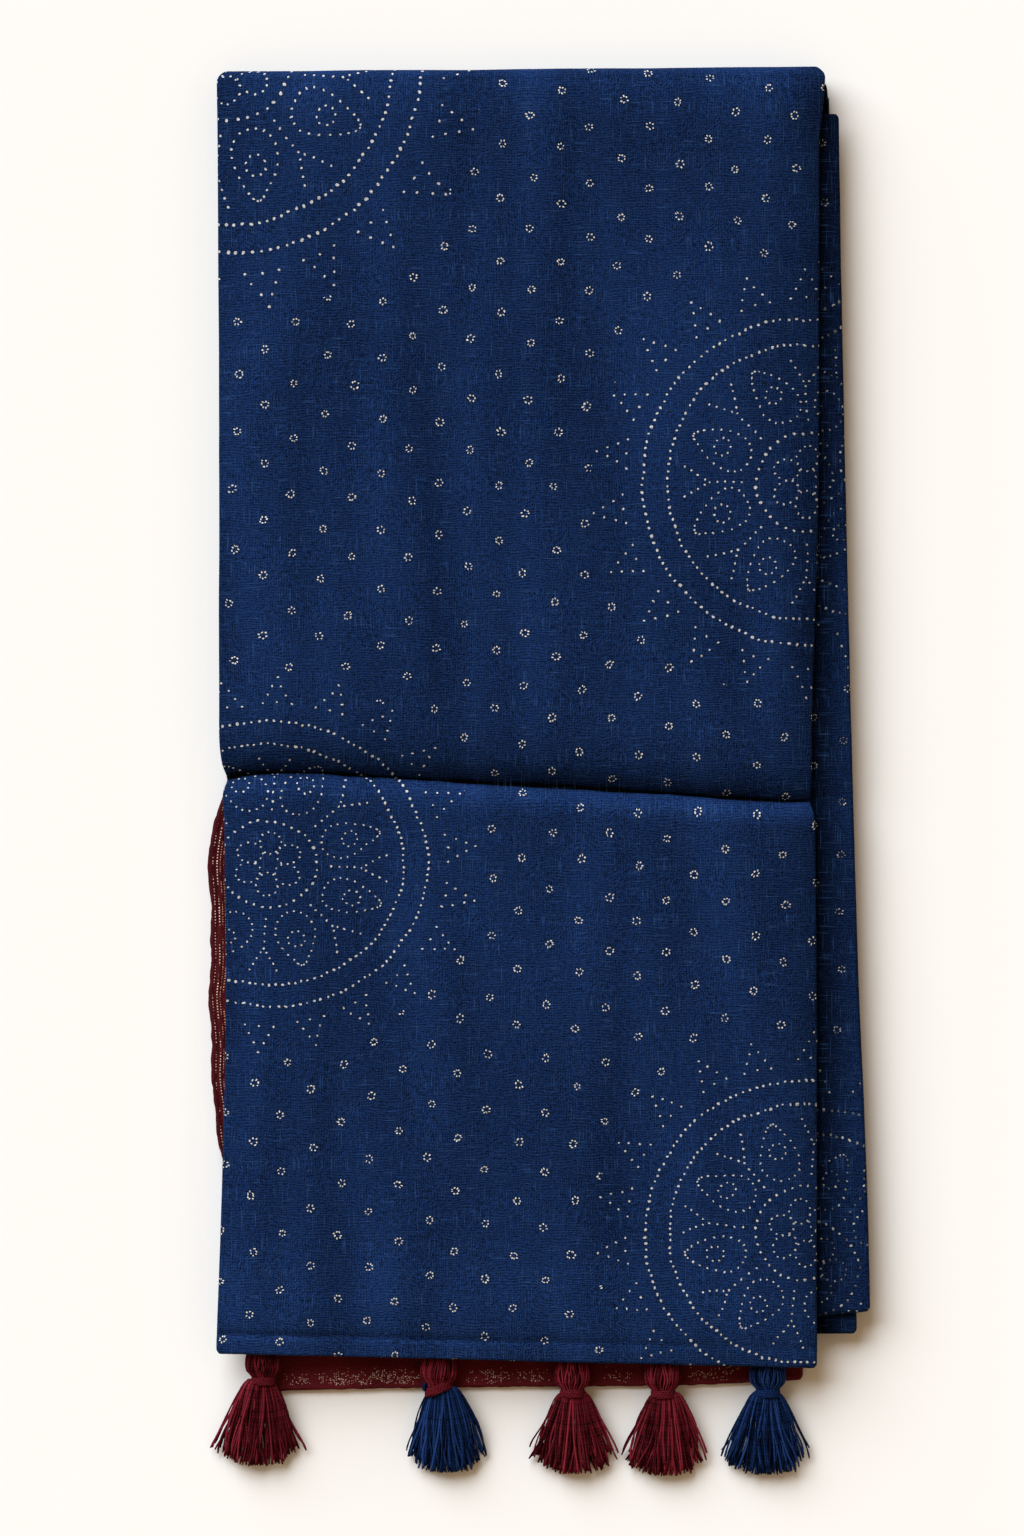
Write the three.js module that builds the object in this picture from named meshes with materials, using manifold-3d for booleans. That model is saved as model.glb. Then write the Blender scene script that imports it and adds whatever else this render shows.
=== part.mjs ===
// A bandhani sari folded into a flat packet, in millimetres. X runs across the packet, Y up its
// length and Z off the table that it lies on. The origin is on the table, under the packet's middle.
//
// The cloth is folded in four across its width, into a ribbon of four plies, and the ribbon is folded
// back and forth along its length. Each pass of the ribbon that shows is a wall of its own. The
// passes that don't show are one solid with a rounded lip for each. The packet was also folded once
// across its middle and opened again, which leaves a crease between two soft pillows.
import * as THREE from "three";
import { mergeVertices } from "three/addons/utils/BufferGeometryUtils.js";
import Module from "manifold-3d";

const wasm = await Module();
wasm.setup();

// ---- driving dimensions ----
const loomWidth = 1152; // the sari from selvedge to selvedge
const ribbonWidth = loomWidth / 4;
const wall = 3.4; // one pass of the ribbon: four plies and the air between them
const seam = 0.3; // between neighbours that touch
const rise = 6.4; // how far each pillow swells above the packet's edges
const hem = { depth: 9.6, extra: 0.5 }; // the turned hem at the near end of the top stretch
const innerHeight = 7.6; // the hidden passes, at their edges

// Heights of the middle of each pass where it meets the edge of the packet.
const thirdLevel = innerHeight + seam + wall / 2;
const secondLevel = thirdLevel + wall + seam;
const topLevel = secondLevel + wall + seam;

// How each level swells: the share of the rise that it takes up, and how far in from the sides of the
// top stretch it starts.
const swelling = {
  inner: { share: 0.25, inset: 26 },
  third: { share: 0.5, inset: 18 },
  second: { share: 0.75, inset: 10 },
  top: { share: 1, inset: 0 },
};

// Reach in mm and steepness of the rounding of a pillow towards each of its sides.
const rounding = {
  side: { reach: 30, power: 2.4 },
  near: { reach: 46, power: 2 },
  far: { reach: 30, power: 2.2 },
  aboveCrease: { reach: 36, power: 2.6 },
  belowCrease: { reach: 17, power: 2.3 },
};
// The crease goes down through every pass, and squeezes the lower ones more.
const notch = { depth: 1.2, squeeze: 2, reach: 8 };
const ripple = { height: 0.35, length: 68, sway: 0.9, swayReach: 95 }; // long soft waves, along Y

// Where the crease runs.
const crease = [
  { x: -150, y: -3.8 },
  { x: -138, y: -1.9 },
  { x: -110, y: -1.2 },
  { x: -90, y: -2.4 },
  { x: -40, y: -5.5 },
  { x: 20, y: -8.6 },
  { x: 80, y: -12.5 },
  { x: 119, y: -14.9 },
  { x: 131, y: -14.4 },
  { x: 160, y: -12 },
];

// The sides of the top stretch, pulled in where the crease reaches them.
const topLeft = [
  { y: -283, x: -155.5 },
  { y: -196, x: -152.6 },
  { y: -110, x: -150.7 },
  { y: -24, x: -151.4 },
  { y: -10, x: -150.6 },
  { y: -3, x: -148.8 },
  { y: 5, x: -151 },
  { y: 18, x: -153.8 },
  { y: 130, x: -154 },
  { y: 300, x: -154.6 },
  { y: 338, x: -155.2 },
];
const topRight = [
  { y: -286, x: 133 },
  { y: -110, x: 132.9 },
  { y: -30, x: 132 },
  { y: -20, x: 131.2 },
  { y: -14.5, x: 130 },
  { y: -7, x: 130.4 },
  { y: 34, x: 130.8 },
  { y: 130, x: 133.7 },
  { y: 300, x: 134.2 },
  { y: 322, x: 136.2 },
  { y: 338, x: 137.3 },
];
// The sides of the passes below, which are folded a little less evenly.
const secondLeft = [
  { y: -265, x: -152.4 },
  { y: -110, x: -148.4 },
  { y: -24, x: -149.2 },
  { y: -10, x: -148.2 },
  { y: -3, x: -146.4 },
  { y: 5, x: -148.6 },
  { y: 18, x: -151.2 },
  { y: 309, x: -152.2 },
];
const secondRight = [
  { y: -260, x: 158.6 },
  { y: -196, x: 157 },
  { y: -110, x: 153.4 },
  { y: -14, x: 150.4 },
  { y: 92, x: 147.8 },
  { y: 226, x: 144.9 },
  { y: 315, x: 143.6 },
];
// The third makes room for the side border.
const thirdLeft = [
  { y: -273, x: -141 },
  { y: -100, x: -139.6 },
  { y: -2, x: -140 },
  { y: 12, x: -149.6 },
  { y: 334, x: -154.6 },
];
const thirdRight = [
  { y: -268, x: 152.2 },
  { y: -14, x: 146 },
  { y: 317, x: 138.7 },
  { y: 334, x: 137.3 },
];
// The hidden passes keep just inside what lies on them.
const innerLeft = [
  { y: -272, x: -152.4 },
  { y: -110, x: -149.2 },
  { y: -14, x: -149.6 },
  { y: -3, x: -147.6 },
  { y: 18, x: -151 },
  { y: 331, x: -152 },
];
const innerRight = [
  { y: -272, x: 146 },
  { y: -14, x: 141 },
  { y: 331, x: 134 },
];
// The ends of each pass, at the left and the right side of the packet.
const ends = {
  top: { near: [-279.8, -287], far: [335.8, 338.2] },
  second: { near: [-265, -259.2], far: [309, 315.6] },
  third: { near: [-273, -267.4] }, // its far end meets the turn of the top stretch
  inner: { near: [-271, -270], far: [330, 332] },
};
const cornerRadius = { cloth: 3, turn: 2.6 };

// The lips of the hidden passes, from the top down: the share of the height at which each ends, and
// how far it stands out on each side.
const innerLips = [
  { bottom: 0.58, left: 0, right: 0, near: 0, far: 0 },
  { bottom: 0.28, left: -3.2, right: 3.5, near: -9.5, far: -2.6 },
  { bottom: 0, left: -0.8, right: -2.4, near: -9.5, far: 0.6 },
];
const lipGroove = 1.1; // how far a lip stands out past the grooves beside it
const lipRound = 0.22; // the share of its height that rounds over, at its top and its foot
const lipStep = 0.01; // the flat of a groove

// The lines of each grid: distances from its sides, its ends and the crease, and how many even spans
// lie between them. A rounded edge has lines of its own before these.
const grids = {
  top: {
    side: [5.5, 12, 21, 32],
    across: 7,
    near: [hem.depth - 1, hem.depth + 0.6, 24, 46],
    lower: 4,
    crease: [-46, -24, -15, -9, -4.5, -1.6, 1.4, 5, 11, 20, 34, 56],
    upper: 6,
    far: [5, 12, 24, 38],
  },
  under: {
    side: [20, 36],
    across: 5,
    near: [10],
    lower: 5,
    crease: [-26, -9, 0, 11, 36],
    upper: 6,
    far: [10],
  },
  inner: {
    side: [6, 30],
    across: 5,
    near: [1, 3, 24],
    lower: 4,
    crease: [-26, -9, 0, 11, 36],
    upper: 5,
    far: [1, 3, 24],
  },
};
const noseShares = [0, 0.1, 0.5]; // a rounded edge's own lines, as shares of the wall's thickness
const turnSteps = 8;

// The pallu border, maroon with zari: one strip under the near hem, one along the left side.
const endBorder = { left: -125, right: 126.4, thick: 3.9, back: -263.6, corner: 3.2, spans: [12, 3] };
const endBorderFront = [
  { x: -125, y: -298.1 },
  { x: -50, y: -296.6 },
  { x: 30, y: -295.9 },
  { x: 75, y: -295.2 },
  { x: 127, y: -292.6 },
];
const sideBorder = { near: -266, far: -8, thick: 3.1, inner: -141.8, width: 17, spans: [2, 24] };
const sideBorderEdge = [
  { y: -266, x: -153.2 },
  { y: -230, x: -151.4 },
  { y: -204, x: -150.2 },
  { y: -190, x: -151.6 },
  { y: -178, x: -154.6 },
  { y: -160, x: -156.4 },
  { y: -146, x: -157.8 },
  { y: -128, x: -157.6 },
  { y: -110, x: -159.4 },
  { y: -94, x: -158.2 },
  { y: -80, x: -159.3 },
  { y: -64, x: -157.6 },
  { y: -46, x: -159.4 },
  { y: -34, x: -157.4 },
  { y: -22, x: -153.4 },
  { y: -14, x: -150.6 },
  { y: -8, x: -148 },
];

// The tassels: where each neck is, how far its skirt spreads to each side and where its tips end.
const tassels = [
  { name: "tassel_1", x: -132.9, neck: -293, spread: 20.6, tip: -334.6, colour: "maroon" },
  { name: "tassel_2", x: -48.6, neck: -296.6, spread: 18.4, tip: -338.6, colour: "blue" },
  { name: "tassel_3", x: 15.6, neck: -299, spread: 19.2, tip: -339.4, colour: "maroon" },
  { name: "tassel_4", x: 59.2, neck: -299.4, spread: 19.4, tip: -339.8, colour: "maroon" },
  { name: "tassel_5", x: 109.4, neck: -299, spread: 19.8, tip: -339.4, colour: "blue" },
];
// A head, from its root to where the yarns of the skirt come apart: the distance past the neck, half
// its size and the height of its axis above the table.
const headSections = [
  { past: -19.5, wide: 4.4, thick: 2.6, height: 9.9 },
  { past: -17.5, wide: 6.8, thick: 4.3, height: 9.9 },
  { past: -12.5, wide: 8.4, thick: 5.4, height: 9.8 },
  { past: -7, wide: 8.2, thick: 5.2, height: 9.6 },
  { past: -3.2, wide: 6.7, thick: 4.3, height: 9.2 },
  { past: -2.1, wide: 5.9, thick: 4, height: 9.1 },
  { past: -1.8, wide: 6.5, thick: 4.5, height: 9 },
  { past: 1.8, wide: 6.4, thick: 4.4, height: 8.8 },
  { past: 2.1, wide: 5.8, thick: 3.9, height: 8.7 },
  { past: 7, wide: 8.6, thick: 4, height: 8.1 },
  { past: 12, wide: 11, thick: 3.8, height: 7.6 },
];
const headSides = 14;
// The yarns of a skirt lie in layers: how many, the heights of their roots and tips, and the share of
// the skirt's spread that they take up.
const yarnLayers = [
  { count: 11, root: 10, tip: 6.9, fan: 0.86 },
  { count: 10, root: 7.8, tip: 4.8, fan: 0.96 },
  { count: 9, root: 5.6, tip: 2.5, fan: 1.06 },
];
const yarn = { radius: 0.78, rootPast: 10.6, rootSpread: 9.6, sides: 3, steps: 2 };
// The skirt's tips end on a curve, the outer ones first, and no two yarns are quite alike.
const skirt = { round: 9, roundPower: 2.4, ragged: 1.8, uneven: 0.04, sag: 0.3 };
const bendShare = { x: 0.6, y: 0.5, z: 0.4 }; // where a yarn bends on its way
const weld = 0.02; // edges shorter than this close up where a yarn enters the head
const sameSpot = 1e-4; // points closer than this are one

// ---- finishes ----
const cloth = new THREE.MeshStandardMaterial({ color: 0x15295a, roughness: 0.9, metalness: 0 });
const borderCloth = new THREE.MeshStandardMaterial({ color: 0x561820, roughness: 0.8, metalness: 0 });
const yarns = {
  maroon: new THREE.MeshStandardMaterial({ color: 0x55101c, roughness: 0.85, metalness: 0 }),
  blue: new THREE.MeshStandardMaterial({ color: 0x122a5c, roughness: 0.85, metalness: 0 }),
};

// ---- helpers ----
const mix = (a, b, t) => a + (b - a) * t;
const clamp = (value, low, high) => Math.min(Math.max(value, low), high);

// A table's smooth curve: the column `value` where the column `key` is `at`.
function curveAt(table, key, value, at) {
  const last = table.length - 1;
  const spot = clamp(at, table[0][key], table[last][key]);
  const next = clamp(table.findIndex((row) => row[key] >= spot), 1, last);
  const slope = (i) => {
    const before = table[Math.max(i - 1, 0)];
    const after = table[Math.min(i + 1, last)];
    return (after[value] - before[value]) / (after[key] - before[key]);
  };
  const a = table[next - 1];
  const b = table[next];
  const span = b[key] - a[key];
  const t = (spot - a[key]) / span;
  const bend = t * t * (3 - 2 * t);
  const leave = t * (1 - t) ** 2 * span * slope(next - 1);
  const arrive = t * t * (t - 1) * span * slope(next);
  return mix(a[value], b[value], bend) + leave + arrive;
}

const creaseAt = (x) => curveAt(crease, "x", "y", x);
const sideAt = (side, y) => curveAt(side, "y", "x", y);
// An end of a pass runs straight from its left to its right corner.
const endAt = (end, x) => mix(end[0], end[1], clamp((x + ribbonWidth / 2) / ribbonWidth, 0, 1));

// 0 at the edge of a pillow and 1 from `reach` inwards, steep first and then level.
const rounded = (inside, { reach, power }) => 1 - (1 - clamp(inside / reach, 0, 1)) ** power;

// How far a level of the packet lies above its height at the edges.
function swellAt(x, y, { share, inset }) {
  const pastCrease = y - creaseAt(x);
  const towardsCrease = pastCrease > 0 ? rounding.aboveCrease : rounding.belowCrease;
  const pillow =
    rounded(x - sideAt(topLeft, y) - inset, rounding.side) *
    rounded(sideAt(topRight, y) - x - inset, rounding.side) *
    rounded(y - endAt(ends.top.near, x), rounding.near) *
    rounded(endAt(ends.top.far, x) - y, rounding.far) *
    rounded(Math.abs(pastCrease), towardsCrease);
  const sway = ripple.sway * Math.sin(y / ripple.swayReach);
  const waves = Math.sin((2 * Math.PI * x) / ripple.length + sway);
  const depth = notch.depth * (1 + notch.squeeze * (1 - share));
  const dip = depth * Math.exp(-((pastCrease / notch.reach) ** 2));
  return share * pillow * (rise + ripple.height * waves) - dip;
}

// A wall's thickness near a rounded edge, as a share of the whole.
function nose(inside, thick) {
  const t = clamp(inside / (thick / 2), 0, 1);
  return Math.sqrt(1 - (1 - t) ** 2);
}

// How far a rounded corner pulls a side in, at a distance from the end.
function cornerInset(fromEnd, radius) {
  const t = clamp(radius - fromEnd, 0, radius);
  return radius - Math.sqrt(radius ** 2 - t ** 2);
}

function geometryOf(points, faces) {
  const geometry = new THREE.BufferGeometry();
  geometry.setAttribute(
    "position",
    new THREE.Float32BufferAttribute(points.flatMap((p) => [p.x, p.y, p.z]), 3),
  );
  geometry.setIndex(faces.flat());
  geometry.computeVertexNormals();
  return geometry;
}

// Adds two triangles over the four-sided face a, b, c, d.
function addQuad(faces, a, b, c, d) {
  faces.push([a, b, c], [a, c, d]);
}

// The closed solid of a wall: `middle` is a grid of rows of points on its middle surface and `thick`
// the thickness at each, which is 0 round the rim. Rows run along +X, and each next row lies further
// along the cloth.
function wallSolid(middle, thick) {
  const rowCount = middle.length;
  const columnCount = middle[0].length;
  const points = [];
  const outer = [];
  const inner = [];
  for (let r = 0; r < rowCount; r++) {
    for (let c = 0; c < columnCount; c++) {
      const across = middle[r][Math.min(c + 1, columnCount - 1)]
        .clone()
        .sub(middle[r][Math.max(c - 1, 0)]);
      const along = middle[Math.min(r + 1, rowCount - 1)][c]
        .clone()
        .sub(middle[Math.max(r - 1, 0)][c]);
      const half = across.cross(along).setLength(thick[r][c] / 2);
      outer.push(points.length);
      points.push(middle[r][c].clone().add(half));
      const isRim = r === 0 || c === 0 || r === rowCount - 1 || c === columnCount - 1;
      inner.push(isRim ? outer.at(-1) : points.length);
      if (!isRim) points.push(middle[r][c].clone().sub(half));
    }
  }
  const faces = [];
  for (let r = 0; r + 1 < rowCount; r++) {
    for (let c = 0; c + 1 < columnCount; c++) {
      const at = r * columnCount + c;
      const up = at + columnCount;
      addQuad(faces, outer[at], outer[at + 1], outer[up + 1], outer[up]);
      addQuad(faces, inner[at], inner[up], inner[up + 1], inner[at + 1]);
    }
  }
  return geometryOf(points, faces);
}

// Distances from a wall's rounded edge at which its grid has a line.
const noseSteps = (thick) => noseShares.map((share) => share * thick);

// The places from `from` to `to` that cut what lies between into `count` even spans.
const evenly = (from, to, count) =>
  [...Array(count - 1).keys()].map((i) => mix(from, to, (i + 1) / count));

// Where a pass has a line of its grid across the packet: a distance in from one of its sides.
function columnPlan(width, close, spanCount) {
  const between = evenly(close.at(-1), width - close.at(-1), spanCount);
  return [
    ...close.map((inside) => ({ inside, fromRight: false })),
    ...between.map((inside) => ({ inside, fromRight: false })),
    ...close.map((inside) => ({ inside, fromRight: true })).reverse(),
  ];
}

// Where a pass has a line of its grid along its length: each line's y at an x, and how far it lies
// in from the rounded end that it belongs to. `first` gives the lines of a rounded end. A far end
// that turns down into the next pass isn't one.
function rowPlan(end, grid, first) {
  const nearAt = (x) => endAt(end.near, x);
  const farAt = (x) => endAt(end.far, x);
  const between = (fromAt, toAt, count) =>
    evenly(0, 1, count).map((share) => ({
      at: (x) => mix(fromAt(x), toAt(x), share),
      inside: Infinity,
    }));
  const near = [...first, ...grid.near];
  const far = [...(end.turns ? [0] : first), ...grid.far];
  const creaseFrom = (x) => creaseAt(x) + grid.crease[0];
  const creaseTo = (x) => creaseAt(x) + grid.crease.at(-1);
  return [
    ...near.map((step) => ({ at: (x) => nearAt(x) + step, inside: step })),
    ...between((x) => nearAt(x) + near.at(-1), creaseFrom, grid.lower),
    ...grid.crease.map((step) => ({ at: (x) => creaseAt(x) + step, inside: Infinity })),
    ...between(creaseTo, (x) => farAt(x) - far.at(-1), grid.upper),
    ...far
      .map((step) => ({ at: (x) => farAt(x) - step, inside: end.turns ? Infinity : step }))
      .reverse(),
  ];
}

// Each column's x on a row, between two sides that a rounded corner pulls in.
function acrossRow(row, columns, left, right) {
  const inset = cornerInset(row.inside, cornerRadius.cloth);
  const leftX = sideAt(left, row.at(-ribbonWidth / 2)) + inset;
  const rightX = sideAt(right, row.at(ribbonWidth / 2)) - inset;
  return columns.map(({ inside, fromRight }) => (fromRight ? rightX - inside : leftX + inside));
}

// The grid of one pass that lies flat: rows of points, and the thickness at each.
function passGrid({ left, right, level, swell, end, grid, extraAt }) {
  const columns = columnPlan(ribbonWidth, [...noseSteps(wall), ...grid.side], grid.across);
  const rows = rowPlan(end, grid, noseSteps(wall));
  const middle = rows.map((row) =>
    acrossRow(row, columns, left, right).map((x) => {
      const y = row.at(x);
      return new THREE.Vector3(x, y, level + swellAt(x, y, swell));
    }),
  );
  const thick = rows.map((row) => {
    const full = wall + (extraAt ? extraAt(row.inside) : 0);
    return columns.map((column) => full * nose(column.inside, wall) * nose(row.inside, wall));
  });
  return { middle, thick, columns };
}

// ---- the ground cloth ----
const turnRadius = (topLevel - thirdLevel) / 2;

// The top stretch runs over the packet and turns down round its far end, into the third stretch.
function topStretch() {
  const turnStart = ends.top.far.map((y) => y - turnRadius - wall / 2);
  const { middle, thick, columns } = passGrid({
    left: topLeft,
    right: topRight,
    level: topLevel,
    swell: swelling.top,
    end: { near: ends.top.near, far: turnStart, turns: true },
    grid: grids.top,
    extraAt: (inside) => (inside < hem.depth ? hem.extra : 0),
  });

  const start = middle.at(-1);
  const centreX = (start[0].x + start.at(-1).x) / 2;
  const across = columns.map((column) => wall * nose(column.inside, wall));
  for (const angle of [...evenly(0, Math.PI, turnSteps), Math.PI]) {
    const pull = 1 - (cornerRadius.turn * Math.sin(angle)) / (ribbonWidth / 2);
    const out = turnRadius * Math.sin(angle);
    const down = turnRadius * (1 - Math.cos(angle));
    middle.push(start.map((p) => new THREE.Vector3(mix(centreX, p.x, pull), p.y + out, p.z - down)));
    thick.push(across);
  }
  // Under the packet its edge is rounded, where the third stretch goes on.
  const under = middle.at(-1);
  for (const step of noseSteps(wall).slice(1)) {
    middle.push(under.map((p) => new THREE.Vector3(p.x, p.y - step, p.z)));
    thick.push(across.map((full) => full * nose(wall / 2 - step, wall)));
  }
  return wallSolid(middle, thick);
}

function secondStretch() {
  const grid = passGrid({
    left: secondLeft,
    right: secondRight,
    level: secondLevel,
    swell: swelling.second,
    end: ends.second,
    grid: grids.under,
  });
  return wallSolid(grid.middle, grid.thick);
}

function thirdStretch() {
  const underTurn = ends.top.far.map((y) => y - turnRadius - wall - seam);
  const grid = passGrid({
    left: thirdLeft,
    right: thirdRight,
    level: thirdLevel,
    swell: swelling.third,
    end: { near: ends.third.near, far: underTurn },
    grid: grids.under,
  });
  return wallSolid(grid.middle, grid.thick);
}

// ---- the hidden passes ----
// A grid on top, a flat one on the table, and between them a band with a rounded lip for each pass.
function innerFolds() {
  const columns = columnPlan(ribbonWidth, [0, ...grids.inner.side], grids.inner.across);
  const rows = rowPlan(ends.inner, grids.inner, [0]);
  const top = rows.map((row) =>
    acrossRow(row, columns, innerLeft, innerRight).map((x) => {
      const y = row.at(x);
      return new THREE.Vector3(x, y, innerHeight + swellAt(x, y, swelling.inner));
    }),
  );
  const lastRow = top.length - 1;
  const lastColumn = columns.length - 1;

  // The grid's point [r, c] on a lip, which moves each side out by its own distance and by `out`.
  const onLip = ([r, c], lip, out, share) => {
    const p = top[r][c];
    const across = (p.x - top[r][0].x) / (top[r][lastColumn].x - top[r][0].x);
    const along = (p.y - top[0][c].y) / (top[lastRow][c].y - top[0][c].y);
    return new THREE.Vector3(
      p.x + mix(-lip.left - out, lip.right + out, across),
      p.y + mix(-lip.near - out, lip.far + out, along),
      p.z * share,
    );
  };

  // The rim, anticlockwise from above.
  const rim = [];
  for (let c = 0; c <= lastColumn; c++) rim.push([0, c]);
  for (let r = 1; r <= lastRow; r++) rim.push([r, lastColumn]);
  for (let c = lastColumn - 1; c >= 0; c--) rim.push([lastRow, c]);
  for (let r = lastRow - 1; r > 0; r--) rim.push([r, 0]);

  const points = [];
  const faces = [];
  const addGrid = (pointAt) =>
    top.map((row, r) => row.map((_, c) => points.push(pointAt([r, c])) - 1));
  const topId = addGrid(([r, c]) => top[r][c]);
  const underId = addGrid((place) => onLip(place, innerLips.at(-1), 0, 0));

  const rings = [rim.map(([r, c]) => topId[r][c])];
  const addRing = (lip, out, share) =>
    rings.push(rim.map((place) => points.push(onLip(place, lip, out, share)) - 1));
  let above = 1;
  innerLips.forEach((lip, i) => {
    const height = above - lip.bottom;
    addRing(lip, lipGroove, above - lipRound * height);
    addRing(lip, lipGroove, above - (1 - lipRound) * height);
    const below = innerLips[i + 1];
    if (below) {
      addRing(lip, 0, lip.bottom);
      addRing(below, 0, lip.bottom - lipStep);
    }
    above = lip.bottom;
  });
  rings.push(rim.map(([r, c]) => underId[r][c]));

  for (let r = 0; r < lastRow; r++) {
    for (let c = 0; c < lastColumn; c++) {
      addQuad(faces, topId[r][c], topId[r][c + 1], topId[r + 1][c + 1], topId[r + 1][c]);
      addQuad(faces, underId[r][c], underId[r + 1][c], underId[r + 1][c + 1], underId[r][c + 1]);
    }
  }
  rings.slice(1).forEach((lower, i) => {
    const upper = rings[i];
    upper.forEach((id, j) => {
      const next = (j + 1) % rim.length;
      addQuad(faces, id, lower[j], lower[next], upper[next]);
    });
  });
  return geometryOf(points, faces);
}

// ---- the pallu border ----
// A strip of cloth with rounded edges. Each row gives the point of its middle surface at a column.
function stripSolid(rows, columns, thick) {
  const middle = rows.map((row) => columns.map((column) => row.pointAt(column)));
  const thickness = rows.map((row) =>
    columns.map((column) => thick * nose(column.inside, thick) * nose(row.inside, thick)),
  );
  return wallSolid(middle, thickness);
}

// Grid lines over a length: close together at both rounded edges, evenly spaced between them.
function stripLines(length, thick, spanCount) {
  const close = noseSteps(thick);
  const steps = [
    ...close,
    ...evenly(close.at(-1), length - close.at(-1), spanCount),
    ...close.map((step) => length - step).reverse(),
  ];
  return steps.map((at) => ({ at, share: at / length, inside: Math.min(at, length - at) }));
}

function endBorderStrip() {
  const { left, right, back, thick, corner, spans } = endBorder;
  const columns = stripLines(right - left, thick, spans[0]);
  const depth = back - endBorderFront[0].y;
  const rows = stripLines(depth, thick, spans[1]).map((line) => ({
    inside: line.inside,
    pointAt: (column) => {
      const front = cornerInset(line.at, corner);
      const x = mix(left + front, right - front, column.share);
      const y = mix(curveAt(endBorderFront, "x", "y", x), back, line.share);
      return new THREE.Vector3(x, y, thick / 2);
    },
  }));
  return stripSolid(rows, columns, thick);
}

function sideBorderStrip() {
  const { near, far, thick, inner, width, spans } = sideBorder;
  const columns = stripLines(width, thick, spans[0]);
  const rows = stripLines(far - near, thick, spans[1]).map((line) => ({
    inside: line.inside,
    pointAt: (column) => {
      const y = near + line.at;
      const x = mix(sideAt(sideBorderEdge, y), inner, column.share);
      return new THREE.Vector3(x, y, thirdLevel + swellAt(x, y, swelling.third));
    },
  }));
  return stripSolid(rows, columns, thick);
}

// ---- the tassels ----
// A closed solid through rings of points, each anticlockwise as seen from its far end.
function loftSolid(rings) {
  const sides = rings[0].length;
  const points = rings.flat();
  const faces = [];
  for (let r = 0; r + 1 < rings.length; r++) {
    for (let i = 0; i < sides; i++) {
      const next = (i + 1) % sides;
      const a = r * sides;
      const b = a + sides;
      addQuad(faces, a + i, a + next, b + next, b + i);
    }
  }
  for (let i = 1; i + 1 < sides; i++) {
    const end = (rings.length - 1) * sides;
    faces.push([0, i + 1, i], [end, end + i, end + i + 1]);
  }
  return geometryOf(points, faces);
}

// A ring of points round the tassel's axis, which runs towards -Y.
function ovalRing(x, y, z, wide, thick, sides) {
  return [...Array(sides).keys()].map((i) => {
    const angle = (2 * Math.PI * (i + 0.5)) / sides;
    return new THREE.Vector3(x + wide * Math.cos(angle), y, z + thick * Math.sin(angle));
  });
}

function tasselHead({ x, neck }) {
  return loftSolid(
    headSections.map(({ past, wide, thick, height }) =>
      ovalRing(x, neck - past, height, wide, thick, headSides),
    ),
  );
}

// A number from 0 to 1 that looks random and is the same each time.
const scatter = (i, salt) => Math.abs((Math.sin(i * 12.9898 + salt * 78.233) * 43758.5453) % 1);

// One yarn, from just inside the head's end to its own tip: it spreads as it goes. `across` runs from
// -1 to 1 over the skirt.
function skirtYarn({ x, neck, spread, tip }, across, layer, index) {
  const reach = across * spread * layer.fan * (1 - skirt.uneven * scatter(index, 2));
  const drop = skirt.sag * Math.abs(across) * (layer.tip - yarnLayers.at(-1).tip);
  const cutBack = skirt.round * Math.abs(across) ** skirt.roundPower;
  const start = new THREE.Vector3(
    x + across * yarn.rootSpread * layer.fan,
    neck - yarn.rootPast,
    layer.root - drop,
  );
  const end = new THREE.Vector3(
    x + reach,
    tip + cutBack + skirt.ragged * scatter(index, 1),
    layer.tip - drop,
  );
  const bend = new THREE.Vector3(
    mix(start.x, end.x, bendShare.x),
    mix(start.y, end.y, bendShare.y),
    mix(start.z, end.z, bendShare.z),
  );
  const path = new THREE.QuadraticBezierCurve3(start, bend, end);
  const rings = path
    .getPoints(yarn.steps)
    .map((p) => ovalRing(p.x, p.y, p.z, yarn.radius, yarn.radius, yarn.sides));
  return loftSolid(rings);
}

function toManifold(geometry) {
  const bare = new THREE.BufferGeometry();
  bare.setAttribute("position", geometry.getAttribute("position"));
  bare.setIndex(geometry.getIndex());
  const merged = mergeVertices(bare, sameSpot);
  return new wasm.Manifold(
    new wasm.Mesh({
      numProp: 3,
      vertProperties: merged.getAttribute("position").array,
      triVerts: new Uint32Array(merged.getIndex().array),
    }),
  );
}

function fromManifold(solid) {
  const { numProp, vertProperties, triVerts } = solid.getMesh();
  const geometry = new THREE.BufferGeometry();
  geometry.setAttribute("position", new THREE.BufferAttribute(new Float32Array(vertProperties), numProp));
  geometry.setIndex(new THREE.BufferAttribute(new Uint32Array(triVerts), 1));
  geometry.computeVertexNormals();
  return geometry;
}

// A head with its skirt of yarns, which are joined to it at their roots alone.
function tassel(place) {
  let solid = toManifold(tasselHead(place));
  let index = 0;
  for (const layer of yarnLayers) {
    for (let i = 0; i < layer.count; i++) {
      const across = (2 * (i + 0.5)) / layer.count - 1;
      solid = solid.add(toManifold(skirtYarn(place, across, layer, index)));
      index += 1;
    }
  }
  return fromManifold(solid.simplify(weld));
}

const model = new THREE.Group();
model.name = "folded_bandhani_sari";

function addPiece(name, geometry, material) {
  const mesh = new THREE.Mesh(geometry, material);
  mesh.name = name;
  model.add(mesh);
}

addPiece("top_stretch", topStretch(), cloth);
addPiece("second_stretch", secondStretch(), cloth);
addPiece("third_stretch", thirdStretch(), cloth);
addPiece("inner_folds", innerFolds(), cloth);
addPiece("end_border", endBorderStrip(), borderCloth);
addPiece("side_border", sideBorderStrip(), borderCloth);
for (const place of tassels) addPiece(place.name, tassel(place), yarns[place.colour]);

export default model;
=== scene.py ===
import math

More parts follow.
